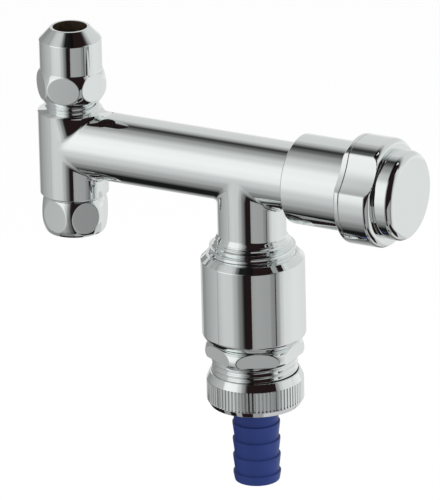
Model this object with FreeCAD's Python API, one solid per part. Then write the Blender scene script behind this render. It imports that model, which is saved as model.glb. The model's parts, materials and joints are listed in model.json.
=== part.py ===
"""Tee valve for a washing machine: tap-side tee, screw-down valve, check valve with pipe vent, hose tail.

Millimetres, +Z up, +X from the column towards the handle.
The origin is where the inlet union's thread starts, on the column's axis.
"""
import FreeCAD, Part
import math
import os
from FreeCAD import Vector

# Clearances
running = 0.1
seated = 0.05
nut_play = 0.3
shortest_edge = 1e-6

# Inlet union nut, 3/8 inch, at the foot of the column
inlet_thread_r = 7.475
inlet_thread_length = 5.2
inlet_mouth = 0.9
inlet_nut_height = 11.5
inlet_nut_wall = 1.6
inlet_nut_bulge = 0.95
inlet_nut_foot_rim = 0.125
inlet_nut_turn = 49.5
inlet_lip = 1.8
inlet_relief = 0.425
inlet_relief_r = inlet_thread_r + inlet_relief
inlet_nut_flats = 2 * (inlet_relief_r + inlet_nut_wall)
inlet_nut_foot_r = inlet_thread_r + inlet_mouth + inlet_nut_foot_rim

# Spigot that the union nut turns on
spigot_inset = 1.475
spigot_wall = 1.8
spigot_groove_depth = 0.8
spigot_end_land = 0.6
retaining_ring_height = 1.4
retaining_ring_width = 1.8
retaining_ring_split = 1.2
inlet_gasket_gap = 0.275
inlet_gasket_height = 1.4
spigot_r = inlet_thread_r - spigot_inset
spigot_groove_r = spigot_r - spigot_groove_depth
retaining_ring_r = spigot_groove_r + retaining_ring_width
inlet_gasket_r = inlet_thread_r - inlet_gasket_gap
column_bore_r = spigot_r - spigot_wall

# Column, barrel and neck of the body
barrel_r = 10.55
barrel_bore_r = 5.0
barrel_wall = 2.25
branch_step = 0.05
branch_fillet = 3.0
column_drop = 16.9
column_rise = 10.2
column_edge = 0.8
neck_x = 61.9
neck_bore_r = 7.0
neck_drop = 20.2
column_r = barrel_r + branch_step
neck_r = barrel_r - branch_step
chamber_r = barrel_r - barrel_wall

# Compression outlet, 3/8 inch thread for a 10 mm tube, on top of the column
tube_r = 5.0
tube_play = 0.15
tube_depth = 11.7
stub_mouth = 1.4
stub_rim = 0.95
stub_thread_depth = 0.83
stub_length = 11.0
ferrule_tip = 0.25
ferrule_cone = 1.0
ferrule_land = 4.0
comp_standoff = 3.3
comp_hex_height = 10.0
comp_hex_wall = 1.37
comp_hex_bulge = 1.25
comp_hex_foot_rim = 0.17
comp_hex_turn = 15.0
comp_shank_step = 0.3
comp_shank_inset = 0.12
comp_shank_height = 9.45
comp_nose_height = 3.72
comp_nose_rim = 0.84
comp_bore_play = 0.26
comp_cup_gap = 0.25
comp_thread_run = 1.0
tube_bore_r = tube_r + tube_play
stub_mouth_r = tube_bore_r + stub_mouth
stub_root_r = stub_mouth_r + stub_rim
stub_thread_r = stub_root_r + stub_thread_depth
ferrule_bore_r = tube_r + running
ferrule_tip_r = ferrule_bore_r + ferrule_tip
ferrule_r = ferrule_tip_r + ferrule_cone
comp_bore_r = tube_r + comp_bore_play
comp_thread_r = stub_thread_r + running
comp_hex_flats = 2 * (stub_thread_r + comp_hex_wall)
comp_hex_foot_r = comp_thread_r + comp_hex_foot_rim
comp_shank_r = comp_hex_flats / 2 - comp_shank_inset
comp_nose_r = comp_bore_r + comp_nose_rim

# Turned top edge of both domed nuts, just inside the flats
dome_inset = 0.05

# Valve seat, and the plug's travel away from it
seat_to_neck = 9.9
seat_lip = 1.0
seat_lip_width = 1.2
plug_travel = 5.0
seat_lip_r = barrel_bore_r + seat_lip_width

# Head part: bonnet, spindle and the plug that closes on the seat
head_reach = 24.1
bonnet_shank = 14.5
bonnet_collar = 4.0
bonnet_collar_wall = 1.2
bonnet_tower = 6.0
bonnet_tower_wall = 2.4
bonnet_seal_section = 1.3
bonnet_seal_depth = 1.4
guide_wall = 2.7
flange_room = 1.9
spindle_stem_r = 3.0
spindle_flange = 1.7
spindle_r = 4.0
spindle_square_loss = 2.5
spindle_square_length = 6.0
spindle_seal_section = 0.9
spindle_seal_gap = 1.3
clip_width = 2.2
clip_height = 0.7
clip_groove_depth = 0.7
clip_to_square = 1.0
clip_split = 60.0
plug_head = 4.0
plug_rim = 0.8
plug_cup = 1.5
plug_wall = 4.0
plug_end_gap = 1.5
washer_height = 2.9
washer_screw_r = 1.5
washer_screw_head_r = 2.8
washer_screw_head = 1.5
washer_screw_length = 6.0
washer_screw_slot = 0.8
bonnet_flats = 2 * (chamber_r + bonnet_collar_wall)
bonnet_tower_r = spindle_r + running + bonnet_tower_wall
guide_flats = 2 * (chamber_r - guide_wall)
spindle_flange_r = guide_flats / 2 - 2 * running
spindle_square = 2 * spindle_r - spindle_square_loss
clip_groove_r = spindle_r - clip_groove_depth
washer_r = seat_lip_r + running
plug_head_r = washer_r + running + plug_rim

# Handle: skirt over the barrel, grip ring with two finger scoops, cap
skirt_overlap = 6.85
skirt_room = 2.03
skirt_wall = 1.2
skirt_lip = 1.5
skirt_bevel = 0.35
skirt_length = 21.55
grip_step = 2.98
grip_band = 2.0
grip_length = 9.9
grip_web = 3.0
grip_nose = 2.2
grip_edge = 1.4
grip_seam = 0.25
grip_seam_depth = 0.3
scoop_r = 24.4
scoop_depth = 2.1
scoop_count = 2
scoop_turn = 35.3
cap_step = 2.99
cap_height = 6.2
cap_edge = 2.3
cap_wall = 1.8
cap_rim_step = 0.87
cap_rim = 5.0
insert_wall = 3.0
insert_flange_width = 2.0
insert_flange = 1.5
insert_bottom = 0.8
handle_screw_r = 1.65
handle_screw_length = 7.0
handle_screw_head_r = 3.5
handle_screw_head = 3.0
handle_screw_socket = 3.0
handle_screw_socket_depth = 2.0
skirt_bore_r = barrel_r + skirt_room
skirt_r = skirt_bore_r + skirt_wall
grip_r = skirt_r + grip_step
scoop_axis = grip_r - scoop_depth + scoop_r
cap_r = grip_r - cap_step
cap_rim_r = cap_r - cap_rim_step
insert_r = spindle_r + insert_wall
insert_flange_r = insert_r + insert_flange_width
insert_hole_r = insert_r + seated

# Outlet thread, 3/4 inch, at the foot of the neck
outlet_thread_r = 13.22
outlet_thread_depth = 1.16
outlet_shoulder = 3.4
outlet_shoulder_land = 0.3
outlet_shoulder_blend = 3.0
outlet_thread_length = 9.1
outlet_wall = 1.46
outlet_counterbore = 7.5
outlet_root_r = outlet_thread_r - outlet_thread_depth
outlet_counterbore_r = outlet_root_r - outlet_wall

# Check valve cartridge inside the housing
cartridge_rise = 6.8
cartridge_flange_gap = 0.32
cartridge_flange = 2.0
cartridge_cage = 5.5
cartridge_cage_wall = 0.8
cartridge_roof = 2.0
cartridge_wall = 2.2
cartridge_floor = 1.8
cartridge_port_r = 2.2
cartridge_ports = 4
poppet_gap = 1.2
poppet_disc = 1.8
poppet_stem_r = 1.5
poppet_stem_past = 2.0
poppet_seal_inset = 0.2
poppet_seal_width = 1.2
poppet_seal_height = 0.95
spring_r = 3.6
spring_wire = 0.7
spring_turns = 5
cartridge_r = outlet_counterbore_r - 2 * running
cartridge_flange_r = outlet_thread_r - cartridge_flange_gap
cartridge_room_r = cartridge_r - cartridge_wall
cartridge_cage_r = cartridge_room_r + cartridge_cage_wall
cartridge_port_circle_r = (cartridge_room_r + poppet_stem_r) / 2
poppet_r = cartridge_room_r - poppet_gap
poppet_seal_r = poppet_r - poppet_seal_inset
cartridge_inlet_r = poppet_seal_r - poppet_seal_width

# Housing of the check valve and pipe vent
housing_exposed = 2.6
housing_wall = 2.66
housing_top_rim = 0.93
housing_top_edge = 1.74
housing_foot_inset = 1.63
housing_foot_edge = 1.7
housing_foot_blend = 1.7
housing_ledge = 0.7
housing_seal_height = 1.5
housing_seal_width = 2.0
vent_room = 2.2
housing_bore_r = outlet_thread_r + seated
housing_r = housing_bore_r + housing_wall
housing_top_r = housing_bore_r + housing_top_rim
housing_foot_r = housing_r - housing_foot_inset
housing_lower_bore_r = cartridge_flange_r - housing_ledge
housing_seal_bore_r = cartridge_flange_r - housing_seal_width

# Outlet nipple, hex with 3/4 inch thread, with vent slots in its spigot
nipple_spigot = 10.5
nipple_gap = 0.5
nipple_hex_height = 6.0
nipple_hex_wall = 0.28
nipple_hex_bulge = 1.85
nipple_hex_top_proud = 0.1
nipple_hex_foot_inset = 0.3
nipple_hex_edge = 1.6
nipple_hex_turn = 32.0
nipple_thread = 8.3
nipple_wall = 5.1
vent_slots = 6
vent_slot_width = 2.0
vent_slot_depth = 1.2
diaphragm_inset = 0.2
diaphragm_bore_gap = 0.6
diaphragm_height = 1.0
nipple_spigot_r = housing_lower_bore_r - running
nipple_bore_r = nipple_spigot_r - nipple_wall
nipple_hex_flats = 2 * (outlet_thread_r + nipple_hex_wall)
nipple_hex_corner_r = nipple_hex_flats / 2 + nipple_hex_bulge
diaphragm_r = nipple_spigot_r - diaphragm_inset
diaphragm_bore_r = nipple_bore_r + diaphragm_bore_gap

# Hose nut with fluted grip, and barbed hose tail
hose_gasket_height = 1.8
hose_gasket_bore_gap = 0.2
hose_collar_gap = 1.02
hose_collar = 2.2
hose_nut_wall = 1.6
hose_nut_engagement = 4.4
hose_nut_lip = 2.3
hose_nut_rim_inset = 1.02
hose_nut_rim = 2.4
hose_nut_foot_inset = 1.05
hose_nut_foot = 1.8
hose_nut_flutes = 78
hose_nut_flute_depth = 0.35
hose_nut_flute_share = 0.42
barb_r = 7.34
barb_step = 0.54
barb_land = 0.5
barb_pitch = 5.4
barb_count = 5
barb_top = 3.2
tail_end = 3.0
tail_end_inset = 0.44
tail_wall = 2.0
hose_bore_r = outlet_thread_r + running
hose_nut_r = hose_bore_r + hose_nut_wall
hose_collar_r = outlet_thread_r - hose_collar_gap
hose_gasket_bore_r = nipple_bore_r + hose_gasket_bore_gap
barb_waist_r = barb_r - barb_step
tail_end_r = barb_r - tail_end_inset
tail_bore_r = barb_waist_r - tail_wall

# Heights along the column
inlet_foot_z = -inlet_mouth
inlet_top_z = inlet_foot_z + inlet_nut_height
inlet_lip_z = inlet_top_z - inlet_lip
retaining_ring_top_z = inlet_lip_z - 2 * running
retaining_ring_z = retaining_ring_top_z - retaining_ring_height
spigot_end_z = retaining_ring_z - spigot_end_land
column_foot_z = inlet_top_z + nut_play
barrel_z = column_foot_z + column_drop
column_top_z = barrel_z + column_rise
stub_top_z = column_top_z + stub_length
comp_foot_z = column_top_z + comp_standoff
comp_hex_top_z = comp_foot_z + comp_hex_height
comp_shank_top_z = comp_hex_top_z + comp_shank_step + comp_shank_height
comp_top_z = comp_shank_top_z + comp_nose_height
ferrule_shoulder_z = stub_top_z - running + ferrule_land

# Places along the barrel
seat_x = neck_x - seat_to_neck
barrel_length = neck_x + head_reach
bonnet_x = barrel_length - bonnet_shank
collar_end_x = barrel_length + bonnet_collar
bonnet_end_x = collar_end_x + bonnet_tower
flange_end_x = collar_end_x - bonnet_collar / 2
flange_x = flange_end_x - spindle_flange
guide_end_x = flange_end_x - flange_room
clip_x = bonnet_end_x + 2 * running
square_x = clip_x + clip_height + clip_to_square
spindle_end_x = square_x + spindle_square_length
plug_face_x = seat_x + running
plug_cup_x = plug_face_x + washer_height
plug_rim_x = plug_cup_x - plug_cup
plug_head_end_x = plug_rim_x + plug_head
plug_thread_x = plug_head_end_x + plug_wall
plug_end_x = guide_end_x - plug_travel - plug_end_gap
stem_x = plug_thread_x + plug_travel + plug_end_gap
skirt_x = barrel_length - skirt_overlap
grip_x = skirt_x + skirt_length
grip_seam_x = grip_x - grip_seam
skirt_web_x = grip_x - grip_band
grip_web_end_x = grip_x + grip_web
grip_end_x = grip_x + grip_length
cap_end_x = grip_end_x + cap_height
insert_end_x = grip_web_end_x + insert_flange

# Heights down the neck
shoulder_z = barrel_z - neck_drop
outlet_thread_z = shoulder_z - outlet_shoulder - outlet_shoulder_land
outlet_end_z = outlet_thread_z - outlet_thread_length
housing_top_z = outlet_thread_z - housing_exposed
cartridge_flange_top_z = outlet_end_z - housing_seal_height
cartridge_flange_z = cartridge_flange_top_z - cartridge_flange
cartridge_top_z = outlet_end_z + cartridge_rise
cartridge_foot_z = cartridge_flange_z - cartridge_cage
cartridge_floor_z = cartridge_foot_z + cartridge_floor
poppet_seal_top_z = cartridge_top_z - cartridge_roof - seated
poppet_top_z = poppet_seal_top_z - poppet_seal_height
poppet_foot_z = poppet_top_z - poppet_disc
nipple_top_z = cartridge_foot_z - vent_room
nipple_hex_top_z = nipple_top_z - nipple_spigot
housing_foot_z = nipple_hex_top_z + nipple_gap
nipple_hex_foot_z = nipple_hex_top_z - nipple_hex_height
nipple_end_z = nipple_hex_foot_z - nipple_thread
hose_collar_top_z = nipple_end_z - hose_gasket_height
hose_collar_z = hose_collar_top_z - hose_collar
hose_lip_z = hose_collar_z - running
hose_nut_foot_z = hose_lip_z - hose_nut_lip
hose_nut_top_z = nipple_end_z + hose_nut_engagement
barb_first_z = hose_collar_z - barb_top
tail_end_z = barb_first_z - (barb_count - 1) * barb_pitch - tail_end


def outline_wire(points):
    """Closed wire through (radius, height) or (radius, height, rounding) points, in the XZ plane."""
    corners = []
    for index, point in enumerate(points):
        here = Vector(point[0], 0, point[1])
        rounding = point[2] if len(point) > 2 else 0
        previous = points[index - 1]
        following = points[(index + 1) % len(points)]
        if not rounding:
            corners.append((here, None, here))
            continue
        back = (Vector(previous[0], 0, previous[1]) - here).normalize()
        ahead = (Vector(following[0], 0, following[1]) - here).normalize()
        half = back.getAngle(ahead) / 2
        reach = rounding / math.tan(half)
        inward = (back + ahead).normalize()
        middle = here + inward * (rounding / math.sin(half) - rounding)
        corners.append((here + back * reach, middle, here + ahead * reach))
    edges = []
    for index, (start, middle, end) in enumerate(corners):
        if middle:
            edges.append(Part.Arc(start, middle, end).toShape())
        onward = corners[(index + 1) % len(corners)][0]
        if (onward - end).Length > shortest_edge:
            edges.append(Part.LineSegment(end, onward).toShape())
    return Part.Wire(edges)


def spin(wire):
    """Solid of revolution of a closed wire about the Z axis."""
    return Part.Face(wire).revolve(Vector(0, 0, 0), Vector(0, 0, 1), 360)


def upright(points, x=0.0):
    """Turned piece on a vertical axis at x: points are (radius, height above the origin)."""
    shape = spin(outline_wire(points))
    shape.translate(Vector(x, 0, 0))
    return shape


def lay(shape):
    """Turn a piece made along Z so that it lies along the barrel's axis."""
    shape.rotate(Vector(0, 0, 0), Vector(0, 1, 0), 90)
    shape.translate(Vector(0, 0, barrel_z))
    return shape


def along(points):
    """Turned piece on the barrel's axis: points are (radius, distance from the column's axis)."""
    return lay(spin(outline_wire(points)))


def rod(radius, low, high, x=0.0):
    """Plain vertical cylinder."""
    return Part.makeCylinder(radius, high - low, Vector(x, 0, low))


def flat_ring(outer_r, inner_r, low, high, x=0.0):
    """Plain vertical tube, for gaskets and rings."""
    return rod(outer_r, low, high, x).cut(rod(inner_r, low, high, x))


def bar(radius, start, end):
    """Plain cylinder on the barrel's axis."""
    return Part.makeCylinder(radius, end - start, Vector(start, 0, barrel_z), Vector(1, 0, 0))


def tube(outer_r, inner_r, start, end):
    """Plain tube on the barrel's axis."""
    return bar(outer_r, start, end).cut(bar(inner_r, start, end))


def square_bar(side, start, end):
    """Square prism on the barrel's axis."""
    return Part.makeBox(end - start, side, side, Vector(start, -side / 2, barrel_z - side / 2))


def hex_rod(flats, low, high, x=0.0, turn=0.0):
    """Vertical hexagonal prism; turn is the angle of a flat from -Y towards +X, in degrees."""
    corner = flats / 2 / math.cos(math.pi / 6)
    points = []
    for step in range(7):
        angle = math.radians(turn - 60 + 60 * step)
        points.append(Vector(x + corner * math.cos(angle), corner * math.sin(angle), low))
    return Part.Face(Part.makePolygon(points)).extrude(Vector(0, 0, high - low))


def hex_bar(flats, start, end):
    """Hexagonal prism on the barrel's axis."""
    return lay(hex_rod(flats, start, end))


def o_ring(section, middle_r, place):
    """O-ring about the barrel's axis."""
    return lay(Part.makeTorus(middle_r, section / 2, Vector(0, 0, place)))


def domed_hex(flats, bulge, foot_r, low, high, turn):
    """Hexagon whose corners are turned to one bulging arc, so that each flat has a round outline."""
    start = Vector(foot_r, 0, low)
    crown = Vector(flats / 2 + bulge, 0, (low + high) / 2)
    end = Vector(flats / 2 - dome_inset, 0, high)
    corners = [end, Vector(0, 0, high), Vector(0, 0, low), start]
    edges = [Part.Arc(start, crown, end).toShape()]
    for first, second in zip(corners, corners[1:]):
        edges.append(Part.LineSegment(first, second).toShape())
    return spin(Part.Wire(edges)).common(hex_rod(flats, low, high, turn=turn))


def branch_creases(shell):
    """Edges where the barrel meets the column and where the neck meets the barrel."""
    creases = []
    for edge in shell.Edges:
        faces = shell.ancestorsOfType(edge, Part.Face)
        axes = [face.Surface.Axis for face in faces if isinstance(face.Surface, Part.Cylinder)]
        if len(axes) == 2 and abs(axes[0].dot(axes[1])) < 0.5:
            creases.append(edge)
    return creases


def make_body_shell():
    """Outside of the cast tee: three tubes with blended branches and a spot-faced column top."""
    blend_top_z = barrel_z + barrel_r + 2 * branch_fillet
    column = upright([
        (0, column_foot_z),
        (column_r - column_edge, column_foot_z),
        (column_r, column_foot_z + column_edge),
        (column_r, blend_top_z),
        (0, blend_top_z),
    ])
    barrel = bar(barrel_r, 0, barrel_length)
    neck = rod(neck_r, shoulder_z, barrel_z, neck_x)
    shell = column.fuse([barrel, neck]).removeSplitter()
    shell = shell.makeFillet(branch_fillet, branch_creases(shell))
    return shell.cut(rod(column_r + branch_fillet, column_top_z, blend_top_z))


def make_valve_body():
    """Cast tee with the seat inside, a spigot for the union nut and two threaded ends."""
    shoulder = upright([
        (0, shoulder_z + outlet_shoulder),
        (neck_r, shoulder_z + outlet_shoulder),
        (neck_r, shoulder_z, outlet_shoulder_blend),
        (outlet_thread_r, shoulder_z - outlet_shoulder),
        (outlet_thread_r, outlet_thread_z),
        (outlet_root_r, outlet_thread_z),
        (outlet_root_r, outlet_end_z),
        (0, outlet_end_z),
    ], neck_x)
    stub = rod(stub_root_r, column_top_z, stub_top_z)
    spigot = upright([
        (0, spigot_end_z),
        (spigot_r, spigot_end_z),
        (spigot_r, retaining_ring_z),
        (spigot_groove_r, retaining_ring_z),
        (spigot_groove_r, retaining_ring_top_z),
        (spigot_r, retaining_ring_top_z),
        (spigot_r, column_foot_z),
        (0, column_foot_z),
    ])
    waterway = rod(column_bore_r, spigot_end_z, stub_top_z)
    socket = upright([
        (0, stub_top_z - tube_depth),
        (tube_bore_r, stub_top_z - tube_depth),
        (tube_bore_r, stub_top_z - stub_mouth),
        (stub_mouth_r, stub_top_z),
        (0, stub_top_z),
    ])
    seal_r = chamber_r + bonnet_seal_section
    chamber = along([
        (0, 0),
        (barrel_bore_r, 0),
        (barrel_bore_r, seat_x),
        (seat_lip_r, seat_x),
        (seat_lip_r, seat_x - seat_lip),
        (chamber_r, seat_x - seat_lip),
        (chamber_r, barrel_length - bonnet_seal_depth),
        (seal_r, barrel_length - bonnet_seal_depth),
        (seal_r, barrel_length),
        (0, barrel_length),
    ])
    drop = rod(neck_bore_r, outlet_end_z, barrel_z, neck_x)
    counterbore = rod(outlet_counterbore_r, outlet_end_z, outlet_end_z + outlet_counterbore, neck_x)
    solid = make_body_shell().fuse([shoulder, stub, spigot]).removeSplitter()
    return solid.cut([waterway, socket, chamber, drop, counterbore])


def make_inlet_union_nut():
    """Swivelling union nut with an inner lip that hangs on the retaining ring."""
    nut = domed_hex(inlet_nut_flats, inlet_nut_bulge, inlet_nut_foot_r,
                    inlet_foot_z, inlet_top_z, inlet_nut_turn)
    hole = upright([
        (0, inlet_foot_z),
        (inlet_thread_r + inlet_mouth, inlet_foot_z),
        (inlet_thread_r, 0),
        (inlet_thread_r, inlet_thread_length),
        (inlet_relief_r, inlet_thread_length),
        (inlet_relief_r, inlet_lip_z),
        (spigot_r + running, inlet_lip_z),
        (spigot_r + running, inlet_top_z),
        (0, inlet_top_z),
    ])
    return nut.cut(hole)


def make_inlet_retaining_ring():
    """Split ring in the spigot's groove that carries the union nut."""
    ring = flat_ring(retaining_ring_r, spigot_groove_r, retaining_ring_z, retaining_ring_top_z)
    split = Part.makeBox(retaining_ring_r, retaining_ring_split, retaining_ring_height,
                         Vector(0, -retaining_ring_split / 2, retaining_ring_z))
    return ring.cut(split)


def make_inlet_gasket():
    """Flat sealing ring on the spigot's end."""
    return flat_ring(inlet_gasket_r, column_bore_r, spigot_end_z - inlet_gasket_height, spigot_end_z)


def make_compression_nut():
    """Nut with a domed hex, a plain shank and a coned nose with the tube's hole."""
    hexagon = domed_hex(comp_hex_flats, comp_hex_bulge, comp_hex_foot_r,
                        comp_foot_z, comp_hex_top_z, comp_hex_turn)
    shank = upright([
        (0, comp_hex_top_z),
        (comp_hex_flats / 2 - dome_inset, comp_hex_top_z),
        (comp_shank_r, comp_hex_top_z + comp_shank_step),
        (comp_shank_r, comp_shank_top_z),
        (comp_nose_r, comp_top_z),
        (0, comp_top_z),
    ])
    cup_r = ferrule_r + comp_cup_gap
    cone_foot_z = ferrule_shoulder_z - (comp_cup_gap - running)
    hole = upright([
        (0, comp_foot_z),
        (comp_thread_r, comp_foot_z),
        (comp_thread_r, stub_top_z + comp_thread_run),
        (cup_r, stub_top_z + comp_thread_run),
        (cup_r, cone_foot_z),
        (comp_bore_r, cone_foot_z + cup_r - comp_bore_r),
        (comp_bore_r, comp_top_z),
        (0, comp_top_z),
    ])
    return hexagon.fuse(shank).cut(hole)


def make_compression_ring():
    """Ferrule with a cone at each end, squeezed between the stub's mouth and the nut."""
    cone_top_z = stub_top_z - running
    return upright([
        (ferrule_bore_r, cone_top_z - ferrule_cone),
        (ferrule_tip_r, cone_top_z - ferrule_cone),
        (ferrule_r, cone_top_z),
        (ferrule_r, ferrule_shoulder_z),
        (ferrule_tip_r, ferrule_shoulder_z + ferrule_cone),
        (ferrule_bore_r, ferrule_shoulder_z + ferrule_cone),
    ])


def make_headpart_bonnet():
    """Bonnet screwed into the barrel: guides the plug and carries the spindle."""
    shank = bar(chamber_r - seated, bonnet_x, barrel_length)
    collar = hex_bar(bonnet_flats, barrel_length, collar_end_x)
    tower = bar(bonnet_tower_r, collar_end_x, bonnet_end_x)
    guide = hex_bar(guide_flats, bonnet_x, guide_end_x)
    flange_seat = bar(spindle_flange_r + 2 * running, guide_end_x, flange_end_x + running)
    bearing = bar(spindle_r + running, flange_end_x, bonnet_end_x)
    return shank.fuse([collar, tower]).removeSplitter().cut([guide, flange_seat, bearing])


def make_headpart_o_ring():
    """O-ring in the barrel's mouth, under the bonnet's collar."""
    middle_r = chamber_r + bonnet_seal_section / 2
    return o_ring(bonnet_seal_section - 2 * seated, middle_r, barrel_length - bonnet_seal_depth / 2)


def spindle_seal_places():
    """Places of the spindle's o-rings, one gap in from each end of the bearing."""
    inset = spindle_seal_gap + spindle_seal_section / 2
    return [flange_end_x + inset, bonnet_end_x - inset]


def make_spindle():
    """Non-rising spindle: threaded stem, thrust flange, sealed bearing and square drive."""
    turned = along([
        (0, stem_x),
        (spindle_stem_r, stem_x),
        (spindle_stem_r, flange_x),
        (spindle_flange_r, flange_x),
        (spindle_flange_r, flange_end_x),
        (spindle_r, flange_end_x),
        (spindle_r, square_x),
        (0, square_x),
    ])
    grooves = [tube(2 * spindle_r, clip_groove_r, clip_x, clip_x + clip_height)]
    half_width = spindle_seal_section / 2 + seated
    for place in spindle_seal_places():
        floor_r = spindle_r - spindle_seal_section
        grooves.append(tube(2 * spindle_r, floor_r, place - half_width, place + half_width))
    screw_hole = bar(handle_screw_r + seated, spindle_end_x - handle_screw_length, spindle_end_x)
    drive = square_bar(spindle_square, square_x, spindle_end_x)
    return turned.fuse(drive).cut(grooves + [screw_hole])


def make_spindle_o_rings():
    """Pair of o-rings that seal the spindle in its bearing."""
    middle_r = spindle_r - spindle_seal_section / 2
    section = spindle_seal_section - seated
    return Part.makeCompound([o_ring(section, middle_r, place) for place in spindle_seal_places()])


def make_spindle_clip():
    """Open clip on the spindle, against the bonnet's end."""
    clip_r = clip_groove_r + clip_width
    clip = tube(clip_r, clip_groove_r, clip_x, clip_x + clip_height)
    wedge = [Vector(0, 0, 0)]
    for side in (-1, 1):
        angle = math.radians(side * clip_split / 2)
        wedge.append(Vector(0, 2 * clip_r * math.sin(angle), -2 * clip_r * math.cos(angle)))
    wedge.append(wedge[0])
    opening = Part.Face(Part.makePolygon(wedge)).extrude(Vector(clip_height, 0, 0))
    opening.translate(Vector(clip_x, 0, barrel_z))
    return clip.cut(opening)


def make_valve_plug():
    """Plug that the spindle draws along: cup for the washer and a hexagonal stem with a thread."""
    head = bar(plug_head_r, plug_rim_x, plug_head_end_x)
    stem = hex_bar(guide_flats - 2 * running, plug_head_end_x, plug_end_x)
    cup = bar(washer_r + running, plug_rim_x, plug_cup_x)
    thread = bar(spindle_stem_r + running, plug_thread_x, plug_end_x)
    screw_hole = bar(washer_screw_r + seated, plug_cup_x, plug_face_x + washer_screw_length + running)
    return head.fuse(stem).cut([cup, thread, screw_hole])


def make_seat_washer():
    """Rubber washer that closes on the seat."""
    return tube(washer_r, washer_screw_r + seated, plug_face_x, plug_cup_x)


def make_washer_screw():
    """Slotted screw that holds the washer in its cup."""
    head_x = plug_face_x - washer_screw_head
    head = bar(washer_screw_head_r, head_x, plug_face_x)
    shank = bar(washer_screw_r, plug_face_x, plug_face_x + washer_screw_length)
    slot = Part.makeBox(washer_screw_slot, 2 * washer_screw_head_r, washer_screw_slot,
                        Vector(head_x, -washer_screw_head_r, barrel_z - washer_screw_slot / 2))
    return head.fuse(shank).cut(slot)


def finger_scoops(start, end, deeper=0.0):
    """Round bars beside the grip that hollow its finger scoops, to be cut away."""
    bars = []
    for index in range(scoop_count):
        foot = Vector(start, -scoop_axis, 0)
        scoop = Part.makeCylinder(scoop_r + deeper, end - start, foot, Vector(1, 0, 0))
        turn = -scoop_turn + index * 360 / scoop_count
        scoop.rotate(Vector(0, 0, 0), Vector(1, 0, 0), turn)
        scoop.translate(Vector(0, 0, barrel_z))
        bars.append(scoop)
    return bars


def make_handle_skirt():
    """Sleeve over the barrel's end, with a web, the first band of the grip and a seam line."""
    lip_r = barrel_r + 2 * running
    seam_r = grip_r - grip_seam_depth
    turned = along([
        (lip_r, skirt_x),
        (skirt_r - skirt_bevel, skirt_x),
        (skirt_r, skirt_x + skirt_bevel),
        (skirt_r, skirt_web_x),
        (grip_r, skirt_web_x, grip_edge),
        (grip_r, grip_seam_x),
        (seam_r, grip_seam_x),
        (seam_r, grip_x),
        (insert_hole_r, grip_x),
        (insert_hole_r, skirt_web_x),
        (skirt_bore_r, skirt_web_x),
        (skirt_bore_r, skirt_x + skirt_lip),
        (lip_r, skirt_x + skirt_lip),
    ])
    band_scoops = finger_scoops(skirt_web_x, grip_seam_x)
    seam_scoops = finger_scoops(grip_seam_x, grip_x, grip_seam_depth)
    return turned.cut(band_scoops + seam_scoops)


def make_handle_grip():
    """Grip ring with a web inside and a rounded nose round the cap."""
    recess_r = cap_rim_r + running
    turned = along([
        (insert_hole_r, grip_x),
        (grip_r, grip_x),
        (grip_r, grip_end_x, grip_nose),
        (recess_r, grip_end_x),
        (recess_r, grip_web_end_x),
        (insert_hole_r, grip_web_end_x),
    ])
    return turned.cut(finger_scoops(grip_x, grip_end_x))


def make_handle_insert():
    """Insert with the square that drives the spindle."""
    start = square_x + running
    boss = bar(insert_r, start, grip_web_end_x)
    flange = bar(insert_flange_r, grip_web_end_x, insert_end_x)
    drive = square_bar(spindle_square + 2 * seated, start, insert_end_x - insert_bottom)
    screw_hole = bar(handle_screw_r + running, start, insert_end_x)
    return boss.fuse(flange).cut([drive, screw_hole])


def make_handle_screw():
    """Socket screw that pulls the handle onto the spindle, under the cap."""
    head_end_x = insert_end_x + handle_screw_head
    head = bar(handle_screw_head_r, insert_end_x, head_end_x)
    shank = bar(handle_screw_r, spindle_end_x - handle_screw_length + running, insert_end_x)
    socket = hex_bar(handle_screw_socket, head_end_x - handle_screw_socket_depth, head_end_x)
    return head.fuse(shank).cut(socket)


def make_handle_cap():
    """Round cap with a rim that snaps into the grip."""
    hollow_r = cap_rim_r - cap_wall
    shoulder_x = grip_end_x + seated
    return along([
        (0, cap_end_x),
        (cap_r, cap_end_x, cap_edge),
        (cap_r, shoulder_x),
        (cap_rim_r, shoulder_x),
        (cap_rim_r, grip_end_x - cap_rim),
        (hollow_r, grip_end_x - cap_rim),
        (hollow_r, cap_end_x - cap_wall),
        (0, cap_end_x - cap_wall),
    ])


def make_vent_housing():
    """Turned sleeve that holds the check valve and takes the nipple."""
    return upright([
        (housing_lower_bore_r, housing_foot_z),
        (housing_foot_r, housing_foot_z),
        (housing_r, housing_foot_z + housing_foot_edge, housing_foot_blend),
        (housing_r, housing_top_z - housing_top_edge),
        (housing_top_r, housing_top_z),
        (housing_bore_r, housing_top_z),
        (housing_bore_r, cartridge_flange_z),
        (housing_lower_bore_r, cartridge_flange_z),
    ], neck_x)


def make_housing_seal():
    """Flat ring between the outlet thread's end and the cartridge."""
    return flat_ring(cartridge_flange_r, housing_seal_bore_r, cartridge_flange_top_z, outlet_end_z, neck_x)


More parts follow.
